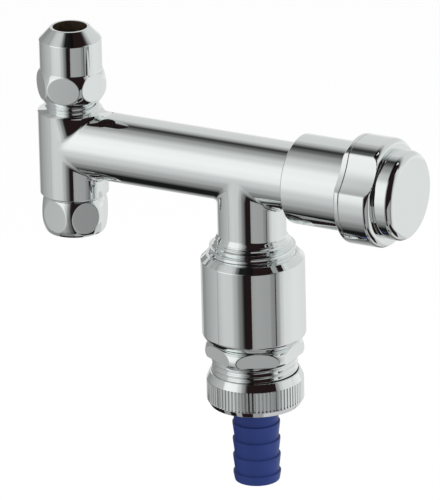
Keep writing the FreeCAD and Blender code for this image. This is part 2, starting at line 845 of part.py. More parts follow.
def make_check_valve_cartridge():
    """Cartridge with the poppet's seat above and a ported floor that guides its stem."""
    guide_r = poppet_stem_r + running
    turned = upright([
        (cartridge_inlet_r, cartridge_top_z),
        (cartridge_r, cartridge_top_z),
        (cartridge_r, cartridge_flange_top_z),
        (cartridge_flange_r, cartridge_flange_top_z),
        (cartridge_flange_r, cartridge_flange_z),
        (cartridge_cage_r, cartridge_flange_z),
        (cartridge_cage_r, cartridge_foot_z),
        (guide_r, cartridge_foot_z),
        (guide_r, cartridge_floor_z),
        (cartridge_room_r, cartridge_floor_z),
        (cartridge_room_r, cartridge_top_z - cartridge_roof),
        (cartridge_inlet_r, cartridge_top_z - cartridge_roof),
    ], neck_x)
    ports = []
    for index in range(cartridge_ports):
        angle = 2 * math.pi * index / cartridge_ports
        port = rod(cartridge_port_r, cartridge_foot_z, cartridge_floor_z)
        port.translate(Vector(neck_x + cartridge_port_circle_r * math.cos(angle),
                              cartridge_port_circle_r * math.sin(angle), 0))
        ports.append(port)
    return turned.cut(ports)


def make_check_valve_poppet():
    """Poppet disc with its guide stem."""
    disc = rod(poppet_r, poppet_foot_z, poppet_top_z, neck_x)
    stem = rod(poppet_stem_r, cartridge_foot_z - poppet_stem_past, poppet_foot_z, neck_x)
    return disc.fuse(stem)


def make_poppet_seal():
    """Flat seal on the poppet, under the cartridge's seat."""
    return flat_ring(poppet_seal_r, cartridge_inlet_r, poppet_top_z, poppet_seal_top_z, neck_x)


def make_check_valve_spring():
    """Coil spring between the cartridge's floor and the poppet, each half turn a tilted arc."""
    margin = spring_wire / 2 + seated
    low = cartridge_floor_z + margin
    rise = (poppet_foot_z - margin - low) / (2 * spring_turns)
    reach = math.hypot(spring_r, rise / 2)
    half_turns = []
    for index in range(2 * spring_turns):
        side = (-1) ** index
        start = Vector(side * spring_r, 0, index * rise)
        middle = Vector(0, side * reach, (index + 0.5) * rise)
        end = Vector(-side * spring_r, 0, (index + 1) * rise)
        half_turns.append(Part.Arc(start, middle, end).toShape())
    section = Part.Wire(Part.makeCircle(spring_wire / 2, Vector(spring_r, 0, 0), Vector(0, 1, 0)))
    coil = Part.Wire(half_turns).makePipeShell([section], True, False)
    coil.translate(Vector(neck_x, 0, low))
    return coil


def make_vent_diaphragm():
    """Rubber ring that covers the vent slots while water runs."""
    return flat_ring(diaphragm_r, diaphragm_bore_r, nipple_top_z, nipple_top_z + diaphragm_height, neck_x)


def make_outlet_nipple():
    """Hex nipple: slotted spigot in the housing, hex, and thread for the hose nut."""
    turned_hex = upright([
        (0, nipple_hex_foot_z),
        (nipple_hex_flats / 2 - nipple_hex_foot_inset, nipple_hex_foot_z),
        (nipple_hex_corner_r, nipple_hex_foot_z + nipple_hex_edge),
        (nipple_hex_corner_r, nipple_hex_top_z - nipple_hex_edge),
        (nipple_hex_flats / 2 + nipple_hex_top_proud, nipple_hex_top_z),
        (0, nipple_hex_top_z),
    ], neck_x)
    prism = hex_rod(nipple_hex_flats, nipple_hex_foot_z, nipple_hex_top_z, neck_x, nipple_hex_turn)
    spigot = rod(nipple_spigot_r, nipple_hex_top_z, nipple_top_z, neck_x)
    thread = rod(outlet_root_r, nipple_end_z, nipple_hex_foot_z, neck_x)
    cuts = [rod(nipple_bore_r, nipple_end_z, nipple_top_z, neck_x)]
    for index in range(vent_slots):
        slot = Part.makeBox(vent_slot_depth, vent_slot_width, nipple_spigot,
                            Vector(nipple_spigot_r - vent_slot_depth, -vent_slot_width / 2, nipple_hex_top_z))
        slot.rotate(Vector(0, 0, 0), Vector(0, 0, 1), index * 360 / vent_slots)
        slot.translate(Vector(neck_x, 0, 0))
        cuts.append(slot)
    return turned_hex.common(prism).fuse([spigot, thread]).cut(cuts)


def make_hose_gasket():
    """Flat gasket between the nipple's end and the hose tail."""
    return flat_ring(outlet_root_r, hose_gasket_bore_r, hose_collar_top_z, nipple_end_z, neck_x)


def fluted_rod(low, high):
    """Round bar with straight grooves all round, the grip of the hose nut."""
    step = 2 * math.pi / hose_nut_flutes
    floor_r = hose_nut_r - hose_nut_flute_depth
    land = step * (1 - hose_nut_flute_share) / 2
    points = []
    for index in range(hose_nut_flutes):
        middle = index * step
        for radius, angle in ((hose_nut_r, middle - land), (hose_nut_r, middle + land),
                              (floor_r, middle + step / 2)):
            points.append(Vector(neck_x + radius * math.cos(angle), radius * math.sin(angle), low))
    points.append(points[0])
    return Part.Face(Part.makePolygon(points)).extrude(Vector(0, 0, high - low))


def make_hose_nut():
    """Hose nut: coned rim, fluted grip and a lip that holds the tail's collar."""
    flutes_top_z = hose_nut_top_z - hose_nut_rim
    flutes_foot_z = hose_nut_foot_z + hose_nut_foot
    rim = upright([
        (0, flutes_top_z),
        (hose_nut_r, flutes_top_z),
        (hose_nut_r - hose_nut_rim_inset, hose_nut_top_z),
        (0, hose_nut_top_z),
    ], neck_x)
    foot = upright([
        (0, hose_nut_foot_z),
        (hose_nut_r - hose_nut_foot_inset, hose_nut_foot_z),
        (hose_nut_r, flutes_foot_z),
        (0, flutes_foot_z),
    ], neck_x)
    lip_r = barb_r + nut_play
    hole = upright([
        (0, hose_nut_foot_z),
        (lip_r, hose_nut_foot_z),
        (lip_r, hose_lip_z),
        (hose_bore_r, hose_lip_z),
        (hose_bore_r, hose_nut_top_z),
        (0, hose_nut_top_z),
    ], neck_x)
    return fluted_rod(flutes_foot_z, flutes_top_z).fuse([rim, foot]).cut(hole)


def make_hose_tail():
    """Hose tail: collar under the gasket and barbs whose sharp edges face the nut."""
    points = [
        (tail_bore_r, hose_collar_top_z),
        (hose_collar_r, hose_collar_top_z),
        (hose_collar_r, hose_collar_z),
        (barb_waist_r, hose_collar_z),
    ]
    for index in range(barb_count):
        crest_z = barb_first_z - index * barb_pitch
        points.append((barb_waist_r, crest_z))
        points.append((barb_r, crest_z))
        points.append((barb_r, crest_z - barb_land))
        if index < barb_count - 1:
            points.append((barb_waist_r, crest_z - barb_pitch + barb_land))
    points.append((tail_end_r, tail_end_z))
    points.append((tail_bore_r, tail_end_z))
    return upright(points, neck_x)


os.makedirs("parts", exist_ok=True)
pieces = {
    "valve_body": make_valve_body,
    "inlet_union_nut": make_inlet_union_nut,
    "inlet_retaining_ring": make_inlet_retaining_ring,
    "inlet_gasket": make_inlet_gasket,
    "compression_nut": make_compression_nut,
    "compression_ring": make_compression_ring,
    "headpart_bonnet": make_headpart_bonnet,
    "headpart_o_ring": make_headpart_o_ring,
    "spindle": make_spindle,
    "spindle_o_rings": make_spindle_o_rings,
    "spindle_clip": make_spindle_clip,
    "valve_plug": make_valve_plug,
    "seat_washer": make_seat_washer,
    "washer_screw": make_washer_screw,
    "handle_skirt": make_handle_skirt,
    "handle_grip": make_handle_grip,
    "handle_insert": make_handle_insert,
    "handle_screw": make_handle_screw,
    "handle_cap": make_handle_cap,
    "vent_housing": make_vent_housing,
    "housing_seal": make_housing_seal,
    "check_valve_cartridge": make_check_valve_cartridge,
    "check_valve_poppet": make_check_valve_poppet,
    "poppet_seal": make_poppet_seal,
    "check_valve_spring": make_check_valve_spring,
    "vent_diaphragm": make_vent_diaphragm,
    "outlet_nipple": make_outlet_nipple,
    "hose_gasket": make_hose_gasket,
    "hose_nut": make_hose_nut,
    "hose_tail": make_hose_tail,
}
for name, make in pieces.items():
    piece = make()
    piece.exportStep(f"parts/{name}.step")
    print(f"{name}: {len(piece.Solids)} solid, {piece.Volume:.0f} cubic mm, valid {piece.isValid()}")
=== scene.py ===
import json
import math

import bmesh
import bpy
import numpy as np
from mathutils import Matrix, Vector


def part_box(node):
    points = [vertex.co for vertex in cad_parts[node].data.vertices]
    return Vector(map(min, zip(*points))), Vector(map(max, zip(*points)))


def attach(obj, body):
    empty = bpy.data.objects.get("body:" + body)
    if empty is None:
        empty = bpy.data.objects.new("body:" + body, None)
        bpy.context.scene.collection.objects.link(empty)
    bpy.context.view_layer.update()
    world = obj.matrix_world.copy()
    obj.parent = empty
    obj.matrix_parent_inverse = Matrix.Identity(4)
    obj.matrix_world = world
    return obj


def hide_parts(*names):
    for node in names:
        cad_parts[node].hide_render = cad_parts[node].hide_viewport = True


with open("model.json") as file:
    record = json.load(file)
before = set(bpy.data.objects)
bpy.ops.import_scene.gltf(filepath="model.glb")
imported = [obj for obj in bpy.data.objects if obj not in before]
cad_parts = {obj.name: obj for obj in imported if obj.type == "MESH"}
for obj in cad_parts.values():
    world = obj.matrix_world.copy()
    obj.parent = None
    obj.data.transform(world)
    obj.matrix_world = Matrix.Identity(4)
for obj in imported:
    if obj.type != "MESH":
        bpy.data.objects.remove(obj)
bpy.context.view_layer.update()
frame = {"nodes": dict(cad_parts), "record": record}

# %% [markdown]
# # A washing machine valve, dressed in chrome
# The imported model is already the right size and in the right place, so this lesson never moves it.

MM = 0.001
nodes = frame["nodes"]

# %% [markdown]
# ## Shader maths as plain Python
# A material is a net of nodes, and long nets are hard to read when each link is made by hand.
# A small class can stand for one socket, so that `1 - mask` or `level * fade` adds the Math nodes by itself.
# Every other node comes from one method: its type, its settings first, then what goes into its sockets.

# %% A socket that can be used in sums


class Feed:
    """One output socket of a node tree."""

    def __init__(self, tree, socket=None):
        self.tree = tree
        self.socket = socket

    def node(self, kind, settings=None, inputs=None, out=0):
        """Add a node of that kind and return one of its outputs."""
        made = self.tree.nodes.new("ShaderNode" + kind)
        for name, value in (settings or {}).items():
            if name == "stops":
                self.set_stops(made.color_ramp, value)
            else:
                setattr(made, name, value)
        for name, value in (inputs or {}).items():
            self.plug(value, made.inputs[name])
        return Feed(self.tree, made.outputs[out] if made.outputs else None)

    def plug(self, value, target):
        """Link a feed to an input socket, or set the socket to a plain value."""
        if isinstance(value, Feed):
            self.tree.links.new(value.socket, target)
        else:
            target.default_value = value

    @staticmethod
    def set_stops(ramp, stops):
        """Give a colour ramp these stops, each a place and a grey level."""
        ramp.interpolation = "EASE"
        while len(ramp.elements) < len(stops):
            ramp.elements.new(1.0)
        for element, (place, level) in zip(ramp.elements, stops):
            element.position = place
            element.color = (level, level, level, 1.0)

    def maths(self, operation, first, second):
        return self.node("Math", {"operation": operation}, {0: first, 1: second})

    def __add__(self, other):
        return self.maths("ADD", self, other)

    def __radd__(self, other):
        return self.maths("ADD", other, self)

    def __sub__(self, other):
        return self.maths("SUBTRACT", self, other)

    def __rsub__(self, other):
        return self.maths("SUBTRACT", other, self)

    def __mul__(self, other):
        return self.maths("MULTIPLY", self, other)

    def __rmul__(self, other):
        return self.maths("MULTIPLY", other, self)

    def __truediv__(self, other):
        return self.maths("DIVIDE", self, other)

    def __rtruediv__(self, other):
        return self.maths("DIVIDE", other, self)


def new_material(name):
    """An empty material and a feed to start its nodes from."""
    material = bpy.data.materials.new(name)
    material.use_nodes = True
    material.node_tree.nodes.clear()
    return material, Feed(material.node_tree)


print("Feed knows + - * / on either side of a number")

# %% [markdown]
# ## The camera
# The picture was taken from the front right and a little above, with a long lens: parallel edges stay parallel.
# A camera two and a half metres away with a narrow view does the same.
# It is slightly rolled, and the point that it looks at lies off the middle of the picture.

# %% Camera
view_azimuth = math.radians(29.122)
view_elevation = math.radians(20.579)
view_roll = math.radians(-1.338)
view_distance = 2.5
view_target = Vector((0.060, 0.0, 0.0178))
target_right = 7.86 * MM
target_up = 15.21 * MM
picture_height_px = 500
focal_px = 8236.7
sensor_mm = 36.0

level_reach = math.cos(view_elevation)
back = Vector((math.sin(view_azimuth) * level_reach, -math.cos(view_azimuth) * level_reach, math.sin(view_elevation)))
level_right = Vector((math.cos(view_azimuth), math.sin(view_azimuth), 0.0))
level_up = back.cross(level_right)
right = math.cos(view_roll) * level_right + math.sin(view_roll) * level_up
up = math.cos(view_roll) * level_up - math.sin(view_roll) * level_right
lens = bpy.data.cameras.new("camera")
lens.sensor_width = sensor_mm
lens.lens = focal_px / picture_height_px * sensor_mm
lens.clip_end = 20.0
camera = bpy.data.objects.new("camera", lens)
camera_place = view_target + view_distance * back - target_right * right - target_up * up
camera.matrix_world = Matrix.Translation(camera_place) @ Matrix((right, up, back)).transposed().to_4x4()
scene = bpy.context.scene
scene.collection.objects.link(camera)
scene.camera = camera
scene.view_settings.view_transform = "Standard"
print("lens in mm:", round(lens.lens, 1))

# %% [markdown]
# ## Plain studio light
# Everything that is not metal should show its colour about as written, so the room gives an even white level.
# The camera, and what metal or glass mirrors, sees the room at strength 1, which is white.
# Only soft light on matt surfaces comes from the lower level, and two large lamps give it a direction:
# one from the left and above, and a stronger one low on the right. Mirror rays pass both lamps.

# %% Room and lamps
room_level = 0.96
lamp_size = 0.8
lamps = {"soft lamp": (3.0, Vector((-0.6, -0.9, 1.0))), "right lamp": (6.0, Vector((1.2, 0.25, -0.02)))}

world = bpy.data.worlds.new("white room")
scene.world = world
world.use_nodes = True
world.node_tree.nodes.clear()
room = Feed(world.node_tree)
not_camera, not_mirror, not_glass = (1 - room.node("LightPath", out=ray)
                                     for ray in ("Is Camera Ray", "Is Glossy Ray", "Is Transmission Ray"))
unseen = not_camera * (not_mirror * not_glass)
room_strength = 1 - unseen * (1 - room_level)
background = room.node("Background", None, {"Color": (1.0, 1.0, 1.0, 1.0), "Strength": room_strength})
room.node("OutputWorld", None, {"Surface": background})

for name, (power, place) in lamps.items():
    lamp = bpy.data.lights.new(name, "AREA")
    lamp.energy = power
    lamp.size = lamp_size
    lamp_object = bpy.data.objects.new(name, lamp)
    lamp_object.location = place
    lamp_object.rotation_euler = (view_target - place).to_track_quat("-Z", "Y").to_euler()
    lamp_object.visible_glossy = False
    scene.collection.objects.link(lamp_object)
print("room level", room_level, "lamps", len(lamps))

# %% [markdown]
# ## The floor
# The valve hangs on pipes in use, so the floor lies well below it and only closes the picture.
# A white matt floor under an even room comes out white, and it still keeps the soft shadow of the valve.
# Mirror rays pass it, because the boards further on stand for what chrome shows from below.

# %% Floor


def stage_mesh(name, points, faces, material):
    """A mesh that belongs to the studio and not to the object."""
    mesh = bpy.data.meshes.new(name)
    mesh.from_pydata([tuple(point) for point in points], [], faces)
    mesh.materials.append(material)
    made = bpy.data.objects.new(name, mesh)
    scene.collection.objects.link(made)
    return made


floor_z = -0.6
floor_reach = 6.0
floor_paint, paint = new_material("floor paint")
matt = paint.node("BsdfDiffuse", None, {"Color": (1.0, 1.0, 1.0, 1.0)})
paint.node("OutputMaterial", None, {"Surface": matt})
floor_corners = [(-floor_reach, -floor_reach), (floor_reach, -floor_reach),
                 (floor_reach, floor_reach), (-floor_reach, floor_reach)]
floor = stage_mesh("floor", [(x, y, floor_z) for x, y in floor_corners], [(0, 1, 2, 3)], floor_paint)
floor.visible_glossy = False
print("floor at", floor_z, "m")

# %% [markdown]
# ## Boards for the chrome to mirror
# Chrome has almost no colour of its own: what one sees on it is the studio, bent round each tube.
# In a studio, white sweeps, grey boards and black flags stand round a chrome piece to draw its roundness.
# The same boards stand here as meshes that glow softly, and only mirror rays meet them:
# they light nothing else and throw no shadow.

# %% How a board is made


def board(name, rows, columns, place, paint_by):
    """Board over a grid: place gives each point from two shares, paint_by gives its glow from a feed."""
    points, faces = [], []
    for row in range(rows + 1):
        for column in range(columns + 1):
            points.append(place(row / rows, column / columns))
    for row in range(rows):
        for column in range(columns):
            first = row * (columns + 1) + column
            faces.append((first, first + 1, first + columns + 2, first + columns + 1))
    paper, sheet = new_material(name)
    glow = sheet.node("Emission", None, {"Color": paint_by(sheet)})
    sheet.node("OutputMaterial", None, {"Surface": glow})
    made = stage_mesh(name, points, faces, paper)
    made.visible_camera = False
    made.visible_diffuse = False
    made.visible_shadow = False
    made.visible_transmission = False
    return made


print("a board glows for mirror rays only")

# %% [markdown]
# ## Paint that changes over a board
# A board in a studio is lit unevenly, and the fall of its light from edge to edge is what makes a tube look round.
# An image could hold that, but a colour ramp that is driven by the place on the board is smooth at any size.
# The place comes from the Geometry node in metres, and the ramp's stops are written in the board's own measure.

# %% Place on a board and stops along it


def spot_on(sheet):
    """Feeds of x, y and z on a board, in metres."""
    position = sheet.node("NewGeometry", out="Position")
    parts = sheet.node("SeparateXYZ", None, {0: position})
    return [Feed(sheet.tree, socket) for socket in parts.socket.node.outputs]


def ramp_between(sheet, ends, share, stops):
    """Grey level by a share of the way; the stops are in the same measure as the two ends."""
    placed = [((stop - ends[0]) / (ends[1] - ends[0]), level) for stop, level in stops]
    return sheet.node("ValToRGB", {"stops": placed}, {"Fac": share})


print("ramps follow the place on a board")

# %% [markdown]
# ## Sweeps round the barrel
# Long paper sweeps are bent round the barrel's axis, so a band of the paper is a straight band on the barrel.
# A flat board would do as well, but its bands would change their width along the tube.
# The ramp is driven by the angle round the barrel, and a second pair of ramps may fade the sweep along its length.

# %% A bent sweep
sweep_radius = 0.5
barrel_low, barrel_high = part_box("handle_cap")
barrel_z = (barrel_low.z + barrel_high.z) / 2


def part_way(first, last, share):
    return first + (last - first) * share


def fade_along(sheet, fade, along, angle):
    """Ramps along a sweep, one below and one above its bend, with a soft change between them."""
    below, above = (sheet.node("ValToRGB", {"stops": fade[side]}, {"Fac": along}) for side in ("below", "above"))
    bend_low, bend_high = (math.radians(value) for value in fade["bend"])
    rise = sheet.node("MapRange", {"interpolation_type": "SMOOTHSTEP"}, {0: angle, 1: bend_low, 2: bend_high})
    return sheet.node("Mix", {"data_type": "RGBA"}, {"Factor": rise, 6: below, 7: above}, out=2)


def bent_sweep(name, angles, ends, stops, fade=None, size=sweep_radius):
    """Sweep round the barrel's axis: angles above the front in degrees, ends along the barrel in metres."""

    def place(around, along):
        angle = math.radians(part_way(*angles, around))
        x = part_way(*ends, along)
        return Vector((x, -size * math.cos(angle), barrel_z + size * math.sin(angle)))

    def paint_by(sheet):
        x, y, z = spot_on(sheet)
        angle = sheet.node("Math", {"operation": "ARCTAN2"}, {0: z - barrel_z, 1: 0 - y})
        low, high = (math.radians(value) for value in angles)
        middle = (low + high) / 2
        wrapped = sheet.node("Math", {"operation": "WRAP"}, {0: angle, 1: middle - math.pi, 2: middle + math.pi})
        glow = ramp_between(sheet, angles, (wrapped - low) / (high - low), stops)
        if fade is None:
            return glow
        faded = fade_along(sheet, fade, (x - ends[0]) / (ends[1] - ends[0]), wrapped)
        return sheet.node("Mix", {"data_type": "RGBA", "blend_type": "MULTIPLY"},
                          {"Factor": 1.0, 6: glow, 7: faded}, out=2)

    return board(name, 90, 1, place, paint_by)


print("sweeps are bent round the barrel's axis at z", round(barrel_z / MM, 2), "mm")

# %% [markdown]
# ## The bright front and the dark underneath
# The front sweep is brightest a little above the level of the valve and fades up and down, and towards its right end.
# Behind it a grey ceiling follows. Below hang dark strips, which give barrel and handle their black lower lines.
# Each is a sweep of its own, because tube and handle mirror different stretches of the same height.

# %% Front sweep, ceiling and dark strips
right_fade = {"bend": (40, 56),
              "below": [(0.0, 0.72), (0.12, 0.95), (0.35, 1.0), (0.62, 0.95), (0.75, 0.65), (0.86, 0.30), (0.97, 0.02),
                        (1.0, 0.01)],
              "above": [(0.0, 0.72), (0.12, 0.95), (0.35, 1.0), (0.56, 0.96), (0.63, 0.75), (0.70, 0.25), (0.76, 0.02),
                        (1.0, 0.01)]}
bent_sweep("front_sweep", (-64, 104), (-0.56, 0.16),
           [(-64, 0.24), (-49, 0.43), (-25, 0.65), (-2, 0.94), (18, 1.0), (36, 0.97), (59, 0.69), (83, 0.35),
            (97, 0.12), (104, 0.035)], right_fade)
bent_sweep("ceiling", (104, 190), (-0.6, 0.75),
           [(104, 0.035), (107, 0.05), (113, 0.24), (119, 0.45), (131, 0.67), (167, 0.70), (190, 0.90)])

below = (-116, -64)
dark_below = [(-116, 0.24), (-108, 0.10), (-103, 0.010), (-80, 0.010), (-73, 0.11), (-64, 0.24)]
bent_sweep("under_barrel", below, (-0.058, 0.020), dark_below, size=0.125)
bent_sweep("under_handle", below, (-0.185, -0.11), dark_below)
bent_sweep("under_left", below, (-0.6, -0.185), [(-116, 0.24), (-90, 0.30), (-64, 0.24)])
bent_sweep("floor_behind", (-158, -116), (-0.6, -0.05),
           [(-158, 0.75), (-139, 0.55), (-127, 0.39), (-116, 0.24)])
print("sweep radius", sweep_radius, "m")

# %% [markdown]
# ## The left wall
# The left sides of the upright tubes mirror a wall. It is light in front and darkens towards the back.
# One flat board is enough here, because all upright tubes mirror it from far away.

# %% Left wall
wall_x = -0.62
wall_depths = (-0.6, 0.8)
wall_heights = (-0.7, 1.2)


def wall_place(across, upward):
    return Vector((wall_x, part_way(*wall_depths, across), part_way(*wall_heights, upward)))


def wall_paint(sheet):
    x, y, z = spot_on(sheet)
    stops = [(0.0, 0.545), (0.136, 0.51), (0.26, 0.465), (0.37, 0.41), (0.47, 0.36), (0.577, 0.285), (0.7, 0.29),
             (1.0, 0.27)]
    return ramp_between(sheet, (0, 1), (y - wall_depths[0]) / (wall_depths[1] - wall_depths[0]), stops)


board("left_wall", 8, 8, wall_place, wall_paint)
print("left wall at", wall_x, "m")

# %% [markdown]
# ## Boards on the right
# Right of the camera a black gap, a mid-grey board and a light board follow each other, with black behind them.
# They give each upright tube its black stripe, its grey side and its bright right edge.
# An upright tube mirrors by azimuth, so these boards are pieces of a dome, and their paint follows the azimuth.

# %% Boards on a dome
far_boards = 1.5
valve_middle = Vector((0.05, 0.0, 0.0))


def direction(azimuth, elevation):
    """Unit vector, azimuth from the front towards the right, both in degrees."""
    turn, rise = math.radians(azimuth), math.radians(elevation)
    return Vector((math.sin(turn) * math.cos(rise), -math.cos(turn) * math.cos(rise), math.sin(rise)))


def dome_board(name, azimuths, elevations, radius, paint_by, corner=0.0):
    """Piece of a dome round the valve; its first upper corner may hang lower by some degrees."""

    def place(across, upward):
        turn = part_way(*azimuths, across)
        top = elevations[1] - corner * (1 - across) ** 2
        return valve_middle + radius * direction(turn, part_way(elevations[0], top, upward))

    return board(name, 24, 24, place, paint_by)


def by_azimuth(azimuths, stops, axis_x=valve_middle.x):
    """Glow that changes with the azimuth round an upright axis."""

    def paint_by(sheet):
        x, y, z = spot_on(sheet)
        turn = sheet.node("Math", {"operation": "ARCTAN2"}, {0: x - axis_x, 1: 0 - y})
        low, high = (math.radians(value) for value in azimuths)
        return ramp_between(sheet, azimuths, (turn - low) / (high - low), stops)

    return paint_by


def light_paint(sheet):
    return (0.75, 0.75, 0.75, 1.0)


def black_paint(sheet):
    return (0.017, 0.0095, 0.010, 1.0)


grey_azimuths = (25, 77.5)
dome_board("grey_board", grey_azimuths, (-80, -3), far_boards,
           by_azimuth(grey_azimuths, [(25, 0.33), (34, 0.37), (65, 0.35), (69, 0.27), (77.5, 0.24)]), corner=15.0)
right_azimuths = (79.5, 170)
dome_board("right_board", right_azimuths, (-80, 46), far_boards,
           by_azimuth(right_azimuths, [(79.5, 0.26), (86, 0.37), (92, 0.60), (102, 0.74), (130, 0.80), (170, 0.77)]))
dome_board("back_board", (170, 215), (-80, 46), far_boards, light_paint)
dome_board("black_front", (-8, 90), (-88, 89.9), 1.8, black_paint)
dome_board("black_top", (-80, 120), (46, 89.9), 1.7, black_paint)
print("far boards at", far_boards, "m")

# %% [markdown]
# ## Boards underneath
# Cones and rounds on the lower pieces look down, so a grey board lies under the valve, lighter on the right.
# Two black flags on it give the handle's nose and the foot of the column their dark edges.

# %% Under board and its flags
under_z = -0.5
flag_z = under_z + 0.005
neck_axis = sum(side.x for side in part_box("vent_housing")) / 2


def lying_board(name, x_ends, y_ends, z, paint_by):
    """Level board between two ends in x and two in y."""

    def place(across, along):
        return Vector((part_way(*x_ends, along), part_way(*y_ends, across), z))

    board(name, 1, 1, place, paint_by)


under_stops = [(-180, 0.10), (-120, 0.22), (-60, 0.36), (20, 0.34), (74, 0.33), (86, 0.58), (180, 0.62)]
lying_board("under_board", (-0.6, 0.6), (-0.45, 0.6), under_z, by_azimuth((-180, 180), under_stops, neck_axis))
lying_board("right_flag", (0.235, 0.5), (-0.25, 0.25), flag_z, black_paint)
lying_board("foot_flag", (-0.05, 0.07), (-0.125, -0.055), flag_z, black_paint)
print("under board at", under_z, "m")

# %% [markdown]
# ## Chrome
# The visible metal is brass, polished and then plated with chrome: a nearly perfect, very slightly cool mirror.
# Polishing leaves faint waves that make reflections swim a little, and a veil of fine marks that softens them.
# A picture of scratches could be wrapped round, but it would stretch on the nuts and the branches.
# Noise in the object's own space has no seams, and it turns with the piece.

# %% Chrome finish


def shaded(start, inputs):
    """Finish a material with one principled shader."""
    skin = start.node("BsdfPrincipled", None, inputs)
    start.node("OutputMaterial", None, {"Surface": skin})


def noise(start, scale, detail=2.0):
    """Noise in the object's own space, with features about 1 / scale metres wide."""
    own_space = start.node("TexCoord", out="Object")
    return start.node("TexNoise", None, {"Vector": own_space, "Scale": scale, "Detail": detail})


def mixed(start, share, first, second):
    """Colour between two colours."""
    return start.node("Mix", {"data_type": "RGBA"}, {"Factor": share, 6: first, 7: second}, out=2)


def make_chrome():
    material, start = new_material("polished chrome")
    veil = noise(start, 900.0, 3.0)
    waves = noise(start, 130.0, 1.0)
    tint = mixed(start, noise(start, 60.0), (0.862, 0.900, 0.893, 1.0), (0.886, 0.924, 0.917, 1.0))
    ripple = start.node("Bump", None, {"Strength": 0.15, "Distance": 0.02 * MM, "Height": waves})
    shaded(start, {"Base Color": tint, "Metallic": 1.0, "Roughness": 0.025 + 0.035 * veil, "Normal": ripple})
    return material


finishes = {"chrome": make_chrome()}
print("made", finishes["chrome"].name)

# %% [markdown]
# ## Brass, steel and rubber
# These show only when a nut is undone, in the bores and inside, but each has its own grain.
# Turned brass and steel carry fine marks, and rubber a powdery skin.
# One noise for each finish drives colour, roughness and bump together, as wear does on the real material.

# %% Brass, steel and rubber


def make_brass():
    material, start = new_material("turned brass")
    rings = noise(start, 2600.0, 1.0)
    tint = mixed(start, noise(start, 220.0), (0.60, 0.44, 0.18, 1.0), (0.74, 0.58, 0.29, 1.0))
    turned = start.node("Bump", None, {"Strength": 0.3, "Distance": 0.01 * MM, "Height": rings})
    shaded(start, {"Base Color": tint, "Metallic": 1.0, "Roughness": 0.22 + 0.14 * rings, "Normal": turned})
    return material


def make_bare_brass():
    # Unplated brass with a little oxide, made near-black as painted shade for the inside of the bores.
    material, start = new_material("bare brass in a bore")
    patina = noise(start, 700.0, 4.0)
    rings = noise(start, 2600.0, 1.0)
    tint = mixed(start, patina, (0.030, 0.022, 0.016, 1.0), (0.120, 0.085, 0.045, 1.0))
    turned = start.node("Bump", None, {"Strength": 0.3, "Distance": 0.01 * MM, "Height": rings})
    shaded(start, {"Base Color": tint, "Metallic": 0.6, "Roughness": 0.45 + 0.2 * patina, "Normal": turned})
    return material


def make_steel():
    material, start = new_material("stainless steel")
    grain = noise(start, 1800.0, 3.0)
    tint = mixed(start, grain, (0.50, 0.51, 0.53, 1.0), (0.66, 0.67, 0.69, 1.0))
    brushed = start.node("Bump", None, {"Strength": 0.3, "Distance": 0.01 * MM, "Height": grain})
    shaded(start, {"Base Color": tint, "Metallic": 1.0, "Roughness": 0.24 + 0.12 * grain, "Normal": brushed})
    return material


def make_rubber():
    material, start = new_material("black rubber")
    powder = noise(start, 1500.0, 4.0)
    tint = mixed(start, powder, (0.016, 0.016, 0.017, 1.0), (0.045, 0.045, 0.047, 1.0))
    skin = start.node("Bump", None, {"Strength": 0.4, "Distance": 0.02 * MM, "Height": powder})
    shaded(start, {"Base Color": tint, "Roughness": 0.55 + 0.25 * powder, "Normal": skin})
    return material


finishes["brass"] = make_brass()
finishes["bare_brass"] = make_bare_brass()
finishes["steel"] = make_steel()
finishes["rubber"] = make_rubber()
print("made", ", ".join(finishes))

# %% [markdown]
# ## Plastics, and handing the finishes out
# The hose tail is satin blue plastic: a smooth moulded skin over a deep, slightly uneven colour.
# The check valve's pieces are white plastic with a slight mottling.
# Each solid then gets the finish of the slot that the record names for it.

# %% Plastics


def make_white_plastic():
    material, start = new_material("white plastic")
    mottle = noise(start, 400.0, 3.0)
    tint = mixed(start, mottle, (0.80, 0.80, 0.77, 1.0), (0.88, 0.88, 0.85, 1.0))
    skin = start.node("Bump", None, {"Strength": 0.3, "Distance": 0.01 * MM, "Height": mottle})
    shaded(start, {"Base Color": tint, "Roughness": 0.32 + 0.14 * mottle, "Normal": skin})
    return material


def make_blue_plastic():
    material, start = new_material("blue plastic")
    mottle = noise(start, 160.0, 3.0)
    tint = mixed(start, mottle, (0.016, 0.030, 0.128, 1.0), (0.022, 0.040, 0.170, 1.0))
    skin = start.node("Bump", None, {"Strength": 0.25, "Distance": 0.02 * MM, "Height": mottle})
    shaded(start, {"Base Color": tint, "Roughness": 0.30 + 0.12 * mottle, "Specular IOR Level": 0.12, "Normal": skin})
    return material


finishes["white_plastic"] = make_white_plastic()
finishes["blue_plastic"] = make_blue_plastic()
for subpart in frame["record"]["subparts"]:
    node = nodes[subpart["node"]]
    node.data.materials.clear()
    node.data.materials.append(finishes[subpart["material_slot"]])
print("finishes:", ", ".join(finishes))

# %% [markdown]
# ## The form of a thread
# A pipe thread has rounded crests and roots. A triangle wave with its tips softened gives that form,
# and the same wave serves outside and inside threads.

# %% Thread wave
rounding_of_crest = 0.94


def thread_wave(turns):
    """Rounded triangle between 0 in the root and 1 on the crest."""
    return 0.5 + 0.5 * np.arcsin(rounding_of_crest * np.cos(2 * np.pi * turns)) / math.asin(rounding_of_crest)


print("thread wave from", thread_wave(0.5), "to", thread_wave(0.0))

# %% [markdown]
# ## Turned pieces
# Nuts, housing, handle and hose tail come off a lathe, so each is one closed section swept round an axis.
# No real edge is sharp: polishing leaves a thin round that catches a line of light.
# So every corner of a section becomes a small arc here. A bevel modifier could round the solid's own mesh,
# but on a mirror a slightly wrong normal shows as a streak, and a swept section gives exact normals.

# %% A section with rounded corners
edge_round = 0.13
arc_step = math.radians(15.0)


